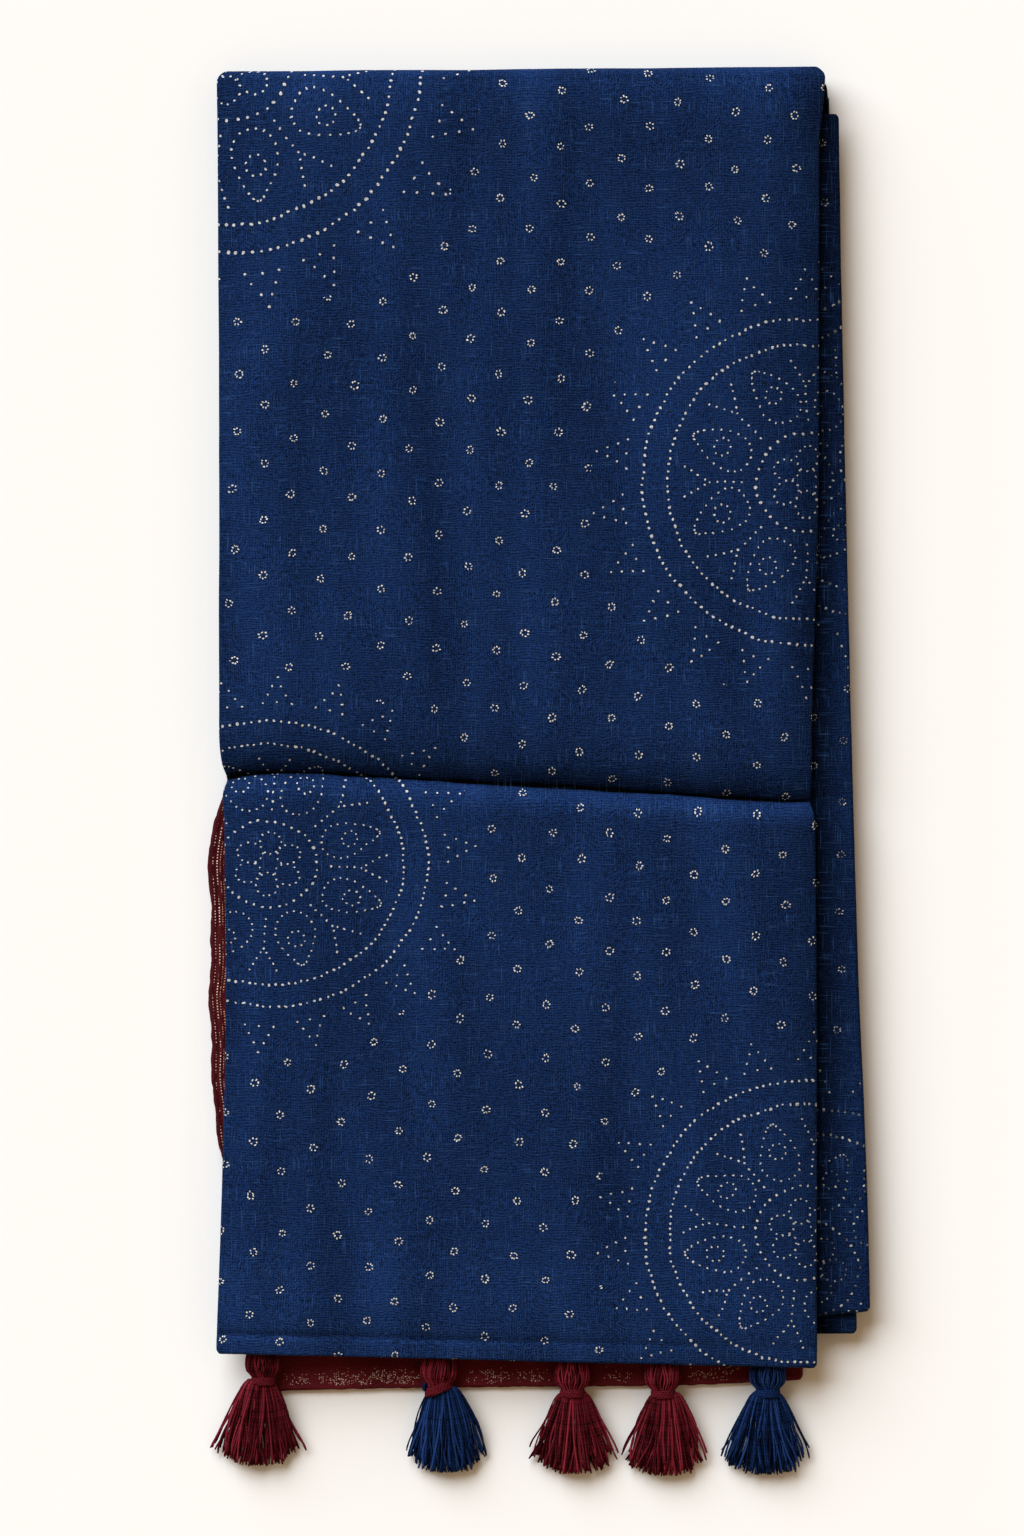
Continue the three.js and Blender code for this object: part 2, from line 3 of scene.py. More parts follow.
import bpy
import numpy as np
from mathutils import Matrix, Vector


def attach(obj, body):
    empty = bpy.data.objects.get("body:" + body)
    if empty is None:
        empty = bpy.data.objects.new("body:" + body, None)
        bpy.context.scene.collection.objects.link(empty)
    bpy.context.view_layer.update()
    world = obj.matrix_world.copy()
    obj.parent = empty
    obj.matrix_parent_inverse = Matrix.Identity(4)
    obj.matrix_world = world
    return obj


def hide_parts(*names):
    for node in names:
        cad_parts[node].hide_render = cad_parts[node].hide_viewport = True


# A bandhani sari folded into a flat packet. Lengths are in mm until a mesh is made, which is in metres.
# X runs across the packet, Y up its length and Z off the table.
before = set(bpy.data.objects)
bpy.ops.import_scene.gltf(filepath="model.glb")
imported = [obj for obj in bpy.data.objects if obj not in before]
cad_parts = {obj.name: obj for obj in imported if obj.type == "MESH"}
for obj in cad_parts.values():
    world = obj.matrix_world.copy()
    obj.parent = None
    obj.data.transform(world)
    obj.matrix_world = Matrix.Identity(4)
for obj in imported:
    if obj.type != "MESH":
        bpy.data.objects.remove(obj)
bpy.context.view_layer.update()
mm = 0.001
print("frame loaded:", len(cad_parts), "nodes")


# One pass of cloth: four plies, 3.4 mm with the air between them. Heights are those of the middle of
# each pass at the packet's edge.
wall = 3.4
halfWall = wall / 2
seam = 0.3
innerHeight = 7.6
thirdLevel = innerHeight + seam + halfWall
secondLevel = thirdLevel + wall + seam
topLevel = secondLevel + wall + seam
turnRadius = (topLevel - thirdLevel) / 2
packetWidth = 288
ribbonHalf = packetWidth / 2

# How each level swells, and how far in from the top stretch's sides it starts to
swelling = {
    "inner": {"share": 0.25, "inset": 26},
    "third": {"share": 0.5, "inset": 18},
    "second": {"share": 0.75, "inset": 10},
    "top": {"share": 1, "inset": 0},
}
pillow = {
    "rise": 6.4,
    "side": (30, 2.4),  # reach and steepness of the rounding
    "near": (46, 2),
    "far": (30, 2.2),
    "aboveCrease": (36, 2.6),
    "belowCrease": (17, 2.3),
    "notchDepth": 1.2,
    "notchSqueeze": 2,
    "notchReach": 8,
    "rippleHeight": 0.35,
    "rippleLength": 68,
    "rippleSway": 0.9,
    "rippleSwayReach": 95,
}

# Sides as (y, x), the crease as (x, y), ends as y at the left and the right side
crease = [
    (-150, -3.8), (-138, -1.9), (-110, -1.2), (-90, -2.4), (-40, -5.5),
    (20, -8.6), (80, -12.5), (119, -14.9), (131, -14.4), (160, -12),
]
topLeft = [
    (-283, -155.5), (-196, -152.6), (-110, -150.7), (-24, -151.4), (-10, -151.9), (-3, -150.2),
    (5, -152.6), (18, -153.8), (130, -154), (300, -154.6), (338, -155.2),
]
topRight = [
    (-286, 133), (-110, 132.9), (-30, 132), (-20, 131.2), (-14.5, 130), (-7, 130.4),
    (34, 130.8), (130, 133.7), (300, 134.2), (322, 136.2), (338, 137.3),
]
secondLeft = [
    (-265, -152.4), (-110, -148.4), (-24, -149.2), (-10, -148.2), (-3, -146.4), (5, -148.6),
    (18, -151.2), (309, -152.2),
]
secondRight = [
    (-260, 158.6), (-196, 157), (-110, 153.4), (-14, 150.4), (92, 147.8), (226, 144.9), (315, 143.6),
]
thirdLeft = [(-273, -141), (-100, -139.6), (-2, -140), (12, -149.6), (334, -154.6)]
thirdRight = [(-268, 152.2), (-14, 146), (317, 138.7), (334, 137.3)]
innerLeft = [(-272, -152.4), (-110, -149.2), (-14, -149.6), (-3, -147.6), (18, -151), (331, -152)]
innerRight = [(-272, 146), (-14, 141), (331, 134)]
topEnds = {"near": (-279.8, -287), "far": (335.8, 338.2)}
secondEnds = {"near": (-265, -262.2, 2.8), "far": (309, 315.6)}
thirdEnds = {"near": (-273, -270.2), "far": tuple(y - turnRadius - wall - seam for y in topEnds["far"])}
innerEnds = {"near": (-271, -270), "far": (330, 332)}
innerLength = 600
cornerRadius = {"cloth": 3.2, "turn": 3}


def mix(a, b, t):
    return a + (b - a) * t


# A smooth curve through the rows of a table, level past its ends
def curveAt(table, at):
    keys, values = (np.array(column, float) for column in zip(*table))
    slopes = np.gradient(values, keys)
    slopes[1:-1] = (values[2:] - values[:-2]) / (keys[2:] - keys[:-2])
    spot = np.clip(at, keys[0], keys[-1])
    i = np.clip(np.searchsorted(keys, spot), 1, len(keys) - 1)
    span = keys[i] - keys[i - 1]
    t = (spot - keys[i - 1]) / span
    bend = t * t * (3 - 2 * t)
    leave = t * (1 - t) ** 2 * span * slopes[i - 1]
    arrive = t * t * (t - 1) * span * slopes[i]
    return mix(values[i - 1], values[i], bend) + leave + arrive


# The y of an end: at the left side, at the right side, and how far its right corner lifts past that
def endAt(end, x):
    lift = end[2] if len(end) > 2 else 0
    straight = mix(end[0], end[1], np.clip((x + ribbonHalf) / packetWidth, 0, 1))
    return straight + lift * np.clip((x - 129) / 30, 0, 1)


def rounded(inside, shape):
    reach, power = shape
    return 1 - (1 - np.clip(inside / reach, 0, 1)) ** power


def bell(distance, reach):
    return np.exp(-((distance / reach) ** 2))


# Noise from -1 to 1 over a plane, the same on each run
def softNoise(x, y, seed):
    def corner(i, j):
        value = np.sin(i * 127.1 + j * 311.7 + seed * 74.7) * 43758.5453
        return 2 * (value - np.floor(value)) - 1

    i, j = np.floor(x), np.floor(y)
    a, b = x - i, y - j
    a = a**3 * (a * (6 * a - 15) + 10)
    b = b**3 * (b * (6 * b - 15) + 10)
    low = mix(corner(i, j), corner(i + 1, j), a)
    high = mix(corner(i, j + 1), corner(i + 1, j + 1), a)
    return mix(low, high, b)


# How far a level of the packet lies above its height at the edges
def swellAt(x, y, swell):
    share, inset = swell["share"], swell["inset"]
    pastCrease = y - curveAt(crease, x)
    above, below = (rounded(np.abs(pastCrease), pillow[side]) for side in ("aboveCrease", "belowCrease"))
    height = (
        rounded(x - curveAt(topLeft, y) - inset, pillow["side"])
        * rounded(curveAt(topRight, y) - x - inset, pillow["side"])
        * rounded(y - endAt(topEnds["near"], x), pillow["near"])
        * rounded(endAt(topEnds["far"], x) - y, pillow["far"])
        * np.where(pastCrease > 0, above, below)
    )
    sway = pillow["rippleSway"] * np.sin(y / pillow["rippleSwayReach"])
    waves = np.sin(2 * np.pi * x / pillow["rippleLength"] + sway)
    depth = pillow["notchDepth"] * (1 + pillow["notchSqueeze"] * (1 - share))
    dip = depth * bell(pastCrease, pillow["notchReach"])
    return share * height * (pillow["rise"] + pillow["rippleHeight"] * waves) - dip


def inScene(name, data):
    made = bpy.data.objects.new(name, data)
    bpy.context.scene.collection.objects.link(made)
    return made


# A smooth mesh, with the place of each corner of its faces in the flat cloth as its UV map, in mm, and
# one number at each of its points
def smoothMesh(name, points, faces, flat, attribute, values):
    mesh = bpy.data.meshes.new(name)
    mesh.from_pydata((np.concatenate(points) * mm).tolist(), [], faces)
    mesh.shade_smooth()
    layer = mesh.uv_layers.new(name="flat")
    layer.data.foreach_set("uv", np.asarray(flat, np.float32).ravel())
    layer = mesh.attributes.new(attribute, "FLOAT", "POINT")
    layer.data.foreach_set("value", np.asarray(values, np.float32))
    return inScene(name, mesh)


def unit(vectors):
    return vectors / np.maximum(np.linalg.norm(vectors, axis=-1, keepdims=True), 1e-9)


def gridNormals(middle):
    across = np.gradient(middle, axis=1)
    along = np.gradient(middle, axis=0)
    return unit(np.cross(across, along))


# The rim of a grid, anticlockwise from above: rows and columns of its points
def rimOf(grid):
    rows, columns = grid.shape[:2]
    rim = [(0, c) for c in range(columns)]
    rim += [(r, columns - 1) for r in range(1, rows)]
    rim += [(rows - 1, c) for c in range(columns - 2, -1, -1)]
    rim += [(r, 0) for r in range(rows - 2, 0, -1)]
    return tuple(np.array(part) for part in zip(*rim))


# Which way is out at each point of a grid's rim
def outwardAt(middle, rim, level):
    place = middle[rim]
    alongRim = np.roll(place, -1, axis=0) - np.roll(place, 1, axis=0)
    outward = unit(np.cross(unit(alongRim), gridNormals(middle)[rim]))
    if level:
        outward[:, 2] = 0
    return unit(outward)


# Closes two grids, one over the other, with rings round their rim. Each ring has its share of the way
# down and how far out it stands at each point of the rim. The last, optional grid of numbers is painted
# light on the outer face, up to 1, and painted shade, down to -1; the inner face gets 0 and the rings
# less of it the further down they are.
def closedForm(name, outer, inner, flat, rings, level=False, paintedShading=None):
    rows, columns = outer.shape[:2]
    rim = rimOf(outer)
    outward = outwardAt((outer + inner) / 2, rim, level)
    points = [outer.reshape(-1, 3), inner.reshape(-1, 3)]
    flats = [flat.reshape(-1, 2), flat.reshape(-1, 2)]
    paintedShading = np.zeros((rows, columns)) if paintedShading is None else paintedShading
    paintedShadings = [paintedShading.ravel(), 0 * paintedShading.ravel()]
    upper, lower = outer[rim], inner[rim]
    flatOut = unit(outward[:, :2])
    shell = [mix(upper, lower, share) + outward * np.reshape(out, (-1, 1)) for share, out in rings]
    steps = np.linalg.norm(np.diff([upper] + shell + [lower], axis=0), axis=2)
    wrapped = np.cumsum(steps, axis=0)
    wrapped = np.minimum(wrapped, wrapped[-1] - wrapped)
    for (share, _), ring, gone in zip(rings, shell, wrapped):
        points.append(ring)
        flats.append(flat[rim] + flatOut * gone[:, None])
        paintedShadings.append(paintedShading[rim] * (1 - share))

    count = rows * columns
    index = np.arange(count).reshape(rows, columns)
    a, b, d, e = index[:-1, :-1], index[:-1, 1:], index[1:, 1:], index[1:, :-1]
    faces = np.stack([a, b, d, e], -1).reshape(-1, 4).tolist()
    faces += np.stack([a + count, e + count, d + count, b + count], -1).reshape(-1, 4).tolist()
    around = len(rim[0])
    loops = [index[rim]]
    loops += [2 * count + k * around + np.arange(around) for k in range(len(rings))]
    loops.append(index[rim] + count)
    for high, low in zip(loops[:-1], loops[1:]):
        highNext, lowNext = np.roll(high, -1), np.roll(low, -1)
        faces += np.stack([high, low, lowNext, highNext], -1).tolist()
    flat = np.concatenate(flats)[np.ravel(faces)]
    return smoothMesh(name, points, faces, flat, "paintedShading", np.concatenate(paintedShadings))


# How wide a groove is, as a share of the height, how uneven it is, and how far the plies slip
edge = {"groove": 0.055, "uneven": 0.4, "slip": 0.16}


# Rings round the edge of a pass: round, with a groove between two plies where the edge shows them.
# `grooves` gives each groove's share of the way down, and the sides of the rim that it is cut into.
def edgeRings(middle, half, grooves, seed, count=14):
    rim = rimOf(middle)
    place = middle[rim]
    rows, columns = middle.shape[:2]
    sides = {
        "near": rim[0] == 0, "far": rim[0] == rows - 1,
        "left": rim[1] == 0, "right": rim[1] == columns - 1,
    }
    along = place[:, 0] + place[:, 1]
    rings = []
    for k in range(1, count):
        angle = np.pi * k / count
        share = (1 - math.cos(angle)) / 2
        out = np.full(len(place), half * math.sin(angle))
        for at, on, depth in grooves:
            cut = depth * bell(share - at, edge["groove"]) * np.any([sides[side] for side in on], axis=0)
            out -= cut * (1 + edge["uneven"] * softNoise(along / 17, at * 9, seed))
        ply = math.floor(4 * share)
        out += edge["slip"] * math.sin(angle) * softNoise(along / 23, ply * 3.7, seed + 1)
        rings.append((share, out))
    return rings


# A closed shell about the middle surface of some cloth, `raised` above its outer face, with painted light
# and shade on that face if given
def clothShell(name, middle, flat, half, raised, grooves, seed, paintedShading=None):
    normals = gridNormals(middle)
    outer = middle + normals * (half + raised)[..., None]
    inner = middle - normals * half
    return closedForm(name, outer, inner, flat, edgeRings(middle, half, grooves, seed), paintedShading=paintedShading)


# Distances from a side at which a grid has its columns, and from an end, the hem's end and the crease
# at which it has its rows. Between them they are even.
edgeLines = [0, 0.5, 1.2, 2.2, 3.6, 5.4, 7.6, 10.2]
endLines = [0, 0.3, 0.7, 1.2, 1.8, 2.6, 3.6, 5.4, 7.6]
hemLines = endLines[:7] + [5, 6.3, 7.2, 7.9, 8.5, 9.1, 9.8, 10.8, 12.4]
creaseLines = (0.4, 0.9, 1.6, 2.6, 4, 5.7, 7.6, 9.8, 12.4, 15.4, 19, 23)


# Columns of a pass: the share of its width that each lies at, and how much further to the right it is
def linesAcross(close, spacing):
    count = max(int(round((packetWidth - 2 * close[-1]) / spacing)), 2)
    between = np.arange(1, count) / count
    ends = np.ones(len(close))
    shares = np.concatenate([0 * ends, between, ends])
    return shares, np.concatenate([close, close[-1] * (1 - 2 * between), -np.array(close[::-1])])


# Rows of a pass, each a function from x to y, with how far it lies from the rounded ends
def rowsAlong(ends, inset, near, fromCrease, far, spacing):
    nearCrease = sorted([0] + [sign * d for sign in (-1, 1) for d in fromCrease])

    def nearAt(x):
        return endAt(ends["near"], x) + inset

    def farAt(x):
        return endAt(ends["far"], x) - inset

    def creaseAt(x):
        return curveAt(crease, x)

    def between(fromAt, toAt):
        count = int(round((toAt(0) - fromAt(0)) / spacing))
        shares = [(i + 1) / count for i in range(count - 1)]
        return [(lambda x, s=s: mix(fromAt(x), toAt(x), s), 99) for s in shares]

    rows = [(lambda x, d=d: nearAt(x) + d, d) for d in near]
    rows += between(lambda x: nearAt(x) + near[-1], lambda x: creaseAt(x) + nearCrease[0])
    rows += [(lambda x, d=d: creaseAt(x) + d, 99) for d in nearCrease]
    rows += between(lambda x: creaseAt(x) + nearCrease[-1], lambda x: farAt(x) - far[-1])
    rows += [(lambda x, d=d: farAt(x) - d, d) for d in reversed(far)]
    return rows


# The middle surface of a pass: a grid of points
def passMiddle(left, right, level, swell, columns, rows, inset):
    corner = cornerRadius["cloth"]
    shares, steps = columns
    grid = []
    for rowAt, fromEnd in rows:
        short = max(corner - inset - fromEnd, 0)
        pulled = inset + corner - math.sqrt(max(corner**2 - short**2, 0))
        leftX = curveAt(left, rowAt(-ribbonHalf)) + pulled
        rightX = curveAt(right, rowAt(ribbonHalf)) - pulled
        x = mix(leftX, rightX, shares) + steps
        y = rowAt(x)
        grid.append(np.stack([x, y, level + swellAt(x, y, swell)], -1))
    return np.array(grid)


# Soft troughs and ridges: x and y of one end, x and y of the other, half width, height
softFolds = [
    (-118, 318, -104, 96, 13, -0.55),
    (-72, 330, -58, 60, 16, 0.5),
    (-36, 325, -44, 120, 12, -0.5),
    (4, 332, 10, 40, 18, 0.45),
    (46, 326, 40, 70, 13, -0.5),
    (84, 240, 92, 20, 15, 0.4),
    (116, 330, 108, 170, 10, -0.45),
    (-128, 90, -112, 8, 12, 0.4),
    (-20, 100, -6, 4, 12, -0.45),
    (-122, -30, -110, -240, 14, 0.4),
    (-84, -22, -78, -200, 12, -0.5),
    (-34, -26, -30, -262, 15, 0.45),
    (12, -60, 6, -270, 12, -0.5),
    (56, -30, 60, -210, 16, 0.4),
    (98, -40, 92, -250, 13, -0.5),
    (30, 190, 96, 176, 9, -0.2),
    (-96, -130, -30, -142, 9, -0.2),
    (20, -196, 88, -188, 10, 0.2),
]
foldShape = {"bow": 3, "bends": 3.1, "taper": 0.25}


def foldsAt(x, y):
    height = np.zeros_like(x)
    for x0, y0, x1, y1, width, rise in softFolds:
        dx, dy = x1 - x0, y1 - y0
        length = math.hypot(dx, dy)
        t = ((x - x0) * dx + (y - y0) * dy) / length**2
        off = ((x - x0) * dy - (y - y0) * dx) / length
        bowed = off + foldShape["bow"] * np.sin(foldShape["bends"] * t + x0)
        ends = np.clip(1 - np.maximum(np.maximum(-t, t - 1), 0) / foldShape["taper"], 0, 1)
        height += rise * bell(bowed, width) * ends * ends * (3 - 2 * ends)
    return height


relief = {
    "waves": 0.55,  # soft waves down the length
    "wave": (31, 170),  # how long one is across and along
    "dimples": 0.12,
    "dimple": (11, 26),
    "pucker": 0.34,  # small gathers where the cloth turns into the crease
    "puckerReach": 15,
    "trough": 2.3,  # how much deeper the crease is pressed
    "troughAbove": 4.5,  # how fast it rises on either side
    "troughBelow": 1.2,
    "lip": 1.1,  # the puffed edge below the crease
    "lipAt": 8.5,
    "lipReach": 5.5,
    "hemDepth": 9.6,
    "hemEdge": 2.4,
    "hemPuff": 0.36,
    "hemPressed": 0.7,
    "stitch": 0.5,
    "hemPucker": 0.2,
}


# How much of the hem shows: it is pressed flatter towards the right
def pressedHem(x):
    return 1 - relief["hemPressed"] * np.clip((x + 30) / 110, 0, 1)


def reliefAt(x, y):
    pastCrease = y - curveAt(crease, x)
    pastHem = y - endAt(topEnds["near"], x)
    height = foldsAt(x, y)
    (wide, tall), (small, short) = relief["wave"], relief["dimple"]
    height += relief["waves"] * softNoise(x / wide + 0.1 * np.sin(y / 60), y / tall, 3)
    height += relief["dimples"] * softNoise(x / small, y / short, 5)
    nearCrease = bell(pastCrease, relief["puckerReach"])
    height += relief["pucker"] * nearCrease * softNoise(x / 6.2 + pastCrease / 40, pastCrease / 22, 7)
    lip = relief["lip"] * bell(pastCrease + relief["lipAt"], relief["lipReach"])
    height += lip * (1 + 0.25 * softNoise(x / 24, 0, 9))
    fall = np.where(pastCrease > 0, relief["troughAbove"], relief["troughBelow"])
    height -= relief["trough"] * np.exp(-np.abs(pastCrease) / fall)
    inHem = np.clip((relief["hemDepth"] - pastHem) / relief["hemEdge"], 0, 1)
    gather = relief["hemPucker"] * softNoise(x / 3.4, pastHem / 9, 11)
    hem = gather * bell(pastHem - relief["hemDepth"], 6) + relief["hemPuff"] * inHem
    hem -= relief["stitch"] * bell(pastHem - relief["hemDepth"] - 0.6, 1.8)
    return height + hem * pressedHem(x)


# Painted light on the top stretch in each place and, below 0, painted shade: a highlight on the puffed lip
# below the crease, shade in and above the crease, on the left part of the lip, in the stitch line and
# along both rounded sides, and light on the far turn, on the hem's puff, just above the hem and towards
# the upper left, all a little uneven
paintedShadingSizes = {
    "lip": 0.27, "leftLip": -0.34, "aboveCrease": -0.75, "crease": -0.9, "farTurn": 0.16,
    "stitch": -0.24, "hem": 0.3, "aboveHem": 0.3, "upperLeft": 0.16, "leftSide": -0.28,
    "rightSide": -0.28, "uneven": 0.35,
}


def topPaintedShading(x, y):
    pastCrease = y - curveAt(crease, x)
    pastHem = y - endAt(topEnds["near"], x)
    places = {
        "lip": bell(np.maximum(-pastCrease - 3, 0), 9) * (pastCrease < 0),
        "leftLip": bell(x + 118, 42) * bell(pastCrease + 3, 5),
        "aboveCrease": np.exp(-np.maximum(pastCrease, 0) / 5) * (pastCrease >= 0),
        "crease": bell(pastCrease, 0.9),
        "farTurn": np.clip((y - endAt(topEnds["far"], x) + 12) / 6, 0, 1),
        "stitch": bell(pastHem - relief["hemDepth"] - 0.5, 1.2) * pressedHem(x),
        "hem": np.clip(relief["hemDepth"] - pastHem, 0, 1) * pressedHem(x),
        "aboveHem": bell(pastHem - 24, 24),
        "upperLeft": bell(x + 128, 52) * bell(y - 240, 110),
        "leftSide": bell(x - curveAt(topLeft, y), 8),
        "rightSide": bell(curveAt(topRight, y) - x, 16),
    }
    uneven = 1 + paintedShadingSizes["uneven"] * softNoise(x / 19, y / 19, 13)
    return sum(paintedShadingSizes[name] * place for name, place in places.items()) * uneven


def topStretch():
    columns = linesAcross(edgeLines, 2.7)
    turnStart = tuple(y - turnRadius - halfWall for y in topEnds["far"])
    rows = rowsAlong(
        {"near": topEnds["near"], "far": turnStart}, 0, [halfWall + d for d in hemLines], creaseLines,
        [0, 2, 4.4], 2.6,
    )
    rows = [(rowAt, d - halfWall if rowAt(0) < 0 and d < 50 else 99) for rowAt, d in rows]
    middle = passMiddle(topLeft, topRight, topLevel, swelling["top"], columns, rows, halfWall)
    flat = middle[..., :2].copy()
    start = middle[-1]
    centreX = (start[0, 0] + start[-1, 0]) / 2
    turned, turnedFlat = [], []
    for angle in np.linspace(0, math.pi, 17)[1:]:
        pull = 1 - cornerRadius["turn"] * math.sin(angle) ** 2 / ribbonHalf
        row = start.copy()
        row[:, 0] = mix(centreX, start[:, 0], pull)
        row[:, 1] += turnRadius * math.sin(angle)
        row[:, 2] -= turnRadius * (1 - math.cos(angle))
        turned.append(row)
        turnedFlat.append(flat[-1] + [0, (turnRadius + halfWall) * angle])
    turnLength = len(turned)
    middle = np.concatenate([middle, turned])
    flat = np.concatenate([flat, turnedFlat])
    raised = reliefAt(middle[..., 0], middle[..., 1])
    fade = np.ones(len(middle))
    fade[-turnLength:] = np.linspace(1, 0, turnLength) ** 2
    raised *= fade[:, None]
    grooves = [
        (0.5, ("left",), 0.35),
        (0.5, ("right", "near"), 0.55),
        (0.25, ("near",), 0.45),
        (0.75, ("right", "near"), 0.5),
    ]
    # Painted light and shade for the top stretch's colour
    paintedShading = topPaintedShading(middle[..., 0], middle[..., 1])
    return clothShell("top_stretch_cloth", middle, flat, halfWall, raised, grooves, 21, paintedShading)


# How deep the painted shadow of the top stretch is on the lower passes close to its side, and how far out
# from it it reaches
paintedShadowOfTop = {"dye": 0.56, "reach": 11}
# Left and right side, level, ends, how much painted shade darkens it on the whole, and the seed of its
# noise
lowerPasses = {
    "second": (secondLeft, secondRight, secondLevel, secondEnds, 0.26, 61),
    "third": (thirdLeft, thirdRight, thirdLevel, thirdEnds, 0.45, 71),
}


# A lower pass, whose right side and ends show
def lowerStretch(name):
    left, right, level, ends, paintedShade, seed = lowerPasses[name]
    columns = linesAcross(edgeLines + [13.2, 16.4, 20, 24, 28.4, 33], 14)
    rows = rowsAlong(ends, halfWall, endLines, (2.4, 5, 9, 14), endLines, 3.1)
    middle = passMiddle(left, right, level, swelling[name], columns, rows, halfWall)
    x, y = middle[..., 0], middle[..., 1]
    shown = np.clip((x - curveAt(topRight, y) - 1.5) / 5, 0, 1)
    pastCrease = y - curveAt(crease, x)
    raised = 0.3 * softNoise(x / 15, y / 48, seed) + 0.1 * softNoise(x / 6, y / 14, seed + 1)
    raised += 0.3 * bell(pastCrease, 12) * softNoise(x / 5, pastCrease / 16, seed + 2)
    grooves = [
        (0.5, ("left", "right", "near", "far"), 0.5),
        (0.25, ("near", "far"), 0.45),
        (0.75, ("near", "far", "right"), 0.45),
    ]
    # Painted shade: darker on the whole, and darker still in the top stretch's painted shadow next to its
    # side
    paintedShading = -paintedShade - paintedShadowOfTop["dye"] * bell(np.maximum(x - curveAt(topRight, y), 0), paintedShadowOfTop["reach"])
    raised *= shown
    name = name + "_stretch_cloth"
    return clothShell(name, middle, middle[..., :2], halfWall, raised, grooves, seed, paintedShading)


# The hidden passes: (share of the height at which a step ends, then how far it stands out on the
# left, right, near and far side)
innerSteps = [
    (0.58, 0, 0, -2.2, 0),
    (0.28, -3.2, 3.5, -9.5, -2.6),
    (0, -0.8, -2.4, -9.5, 0.6),
]
innerEdge = {
    "groove": 1.1, "plies": 13, "plyRound": 0.5, "uneven": 0.55,
    "cornerRun": 9,  # over how many mm the steps of two sides run into each other
    "ringsPerPly": 6,
}


def innerFolds():
    ends = endLines[:7] + [6, 9, 13]
    columns = linesAcross(edgeLines[:5] + [6, 10, 16], 9)
    rows = rowsAlong(innerEnds, 0, ends, (8, 16), ends, 4.4)
    top = passMiddle(innerLeft, innerRight, innerHeight, swelling["inner"], columns, rows, 0)
    floor = top * [1, 1, 0]
    r, c = rimOf(top)
    place = top[r, c]
    width = top[r, -1, 0] - top[r, 0, 0]
    length = top[-1, c, 1] - top[0, c, 1]
    across = (place[:, 0] - top[r, 0, 0]) / width * packetWidth
    along = (place[:, 1] - top[0, c, 1]) / length * innerLength
    sides = [
        (c == 0, across), (c == top.shape[1] - 1, packetWidth - across),
        (r == 0, along), (r == top.shape[0] - 1, innerLength - along),
    ]
    shares = [np.where(on, 1.0, np.clip(1 - away / innerEdge["cornerRun"], 0, 1)) for on, away in sides]
    run = place[:, 0] + 1.3 * place[:, 1]
    plies, perPly = innerEdge["plies"], innerEdge["ringsPerPly"]
    rings = []
    for k in range(1, plies * perPly):
        down = k / (plies * perPly)
        height = 1 - down
        outs = next(step for step in innerSteps if height >= step[0])[1:]
        base = sum(out * share for out, share in zip(outs, shares)) / sum(shares)
        ply = math.floor(down * plies)
        inPly = down * plies - ply
        lip = 2 * math.sqrt(max(inPly * (1 - inPly), 0))
        out = base + innerEdge["groove"] - innerEdge["plyRound"] * (1 - lip)
        out = out + innerEdge["uneven"] * softNoise(run / 74, ply * 5.3, 31) * lip
        out = out + 0.2 * softNoise(run / 19, ply * 2.9, 33)
        rings.append((down, out))
    return closedForm("hidden_passes_cloth", top, floor, top[..., :2], rings, level=True)


# The border under the near hem, folded flat on the table
endBorder = {
    "left": -127.4, "right": 126.4, "halfLength": 126, "thick": 3.9, "corner": 3.2, "fray": 0.17,
    "sag": 0.3, "puffAt": 1.6, "puff": 0.25, "pressedAt": 3.1, "pressed": 0.35,
}
endBorderFront = [(-125, -298.1), (-50, -296.6), (30, -295.9), (75, -295.2), (127, -292.6)]


def endBorderStrip():
    size = endBorder
    half = size["thick"] / 2
    across = np.concatenate([
        size["left"] + half + np.array(edgeLines[:5]),
        np.linspace(size["left"] + 8, size["right"] - 8, 190),
        size["right"] - half - np.array(edgeLines[:5][::-1]),
    ])
    inward = np.concatenate([[0, 0.4, 1, 1.8, 2.8], np.linspace(4, 18, 20), [21, 25, 28.5]])[:, None]
    short = np.maximum(size["corner"] - half - inward, 0)
    pulled = size["corner"] - np.sqrt(size["corner"] ** 2 - short**2)
    x = across * (1 - pulled / size["halfLength"])
    wave = size["fray"] * (softNoise(x / 4.3, 0, 41) + 0.7 * softNoise(x / 1.9, 0, 43))
    d = inward + half + 0 * x
    y = curveAt(endBorderFront, x) + d + wave * bell(inward, 3)
    middle, flat = np.stack([x, y, half + 0 * x], -1), np.stack([x, d], -1)
    raised = size["sag"] * softNoise(x / 22, d / 9, 45) + 0.12 * softNoise(x / 5, d / 4, 47)
    raised -= size["pressed"] * bell(d - size["pressedAt"], 0.9)
    raised += size["puff"] * bell(d - size["puffAt"], 1.2)
    raised *= np.clip(d / 3, 0, 1)
    grooves = [
        (0.25, ("near", "left", "right"), 0.35),
        (0.5, ("near", "left", "right"), 0.5),
        (0.75, ("near", "left", "right"), 0.35),
    ]
    return clothShell("end_border_cloth", middle, flat, half, raised, grooves, 49)


# The same border where its edge shows on the left: two plies, the upper one set back
sideBorder = {
    "near": -266, "far": -8, "thick": 3.1, "inner": -141.8, "fray": 0.3,
    "setBack": 3.3, "ply": 0.55, "groove": 0.5, "pressedAt": 3.4, "pressed": 0.4,
}
sideBorderEdge = [
    (-266, -153.2), (-230, -151.4), (-204, -150.2), (-190, -151.6), (-178, -154.6), (-160, -156.4),
    (-146, -157.8), (-128, -157.8), (-110, -159.3), (-94, -158.1), (-80, -158.3), (-64, -158.1),
    (-46, -159.4), (-38, -158.9), (-28, -157.2), (-19, -154.8), (-13, -152.6), (-8, -150.8),
]


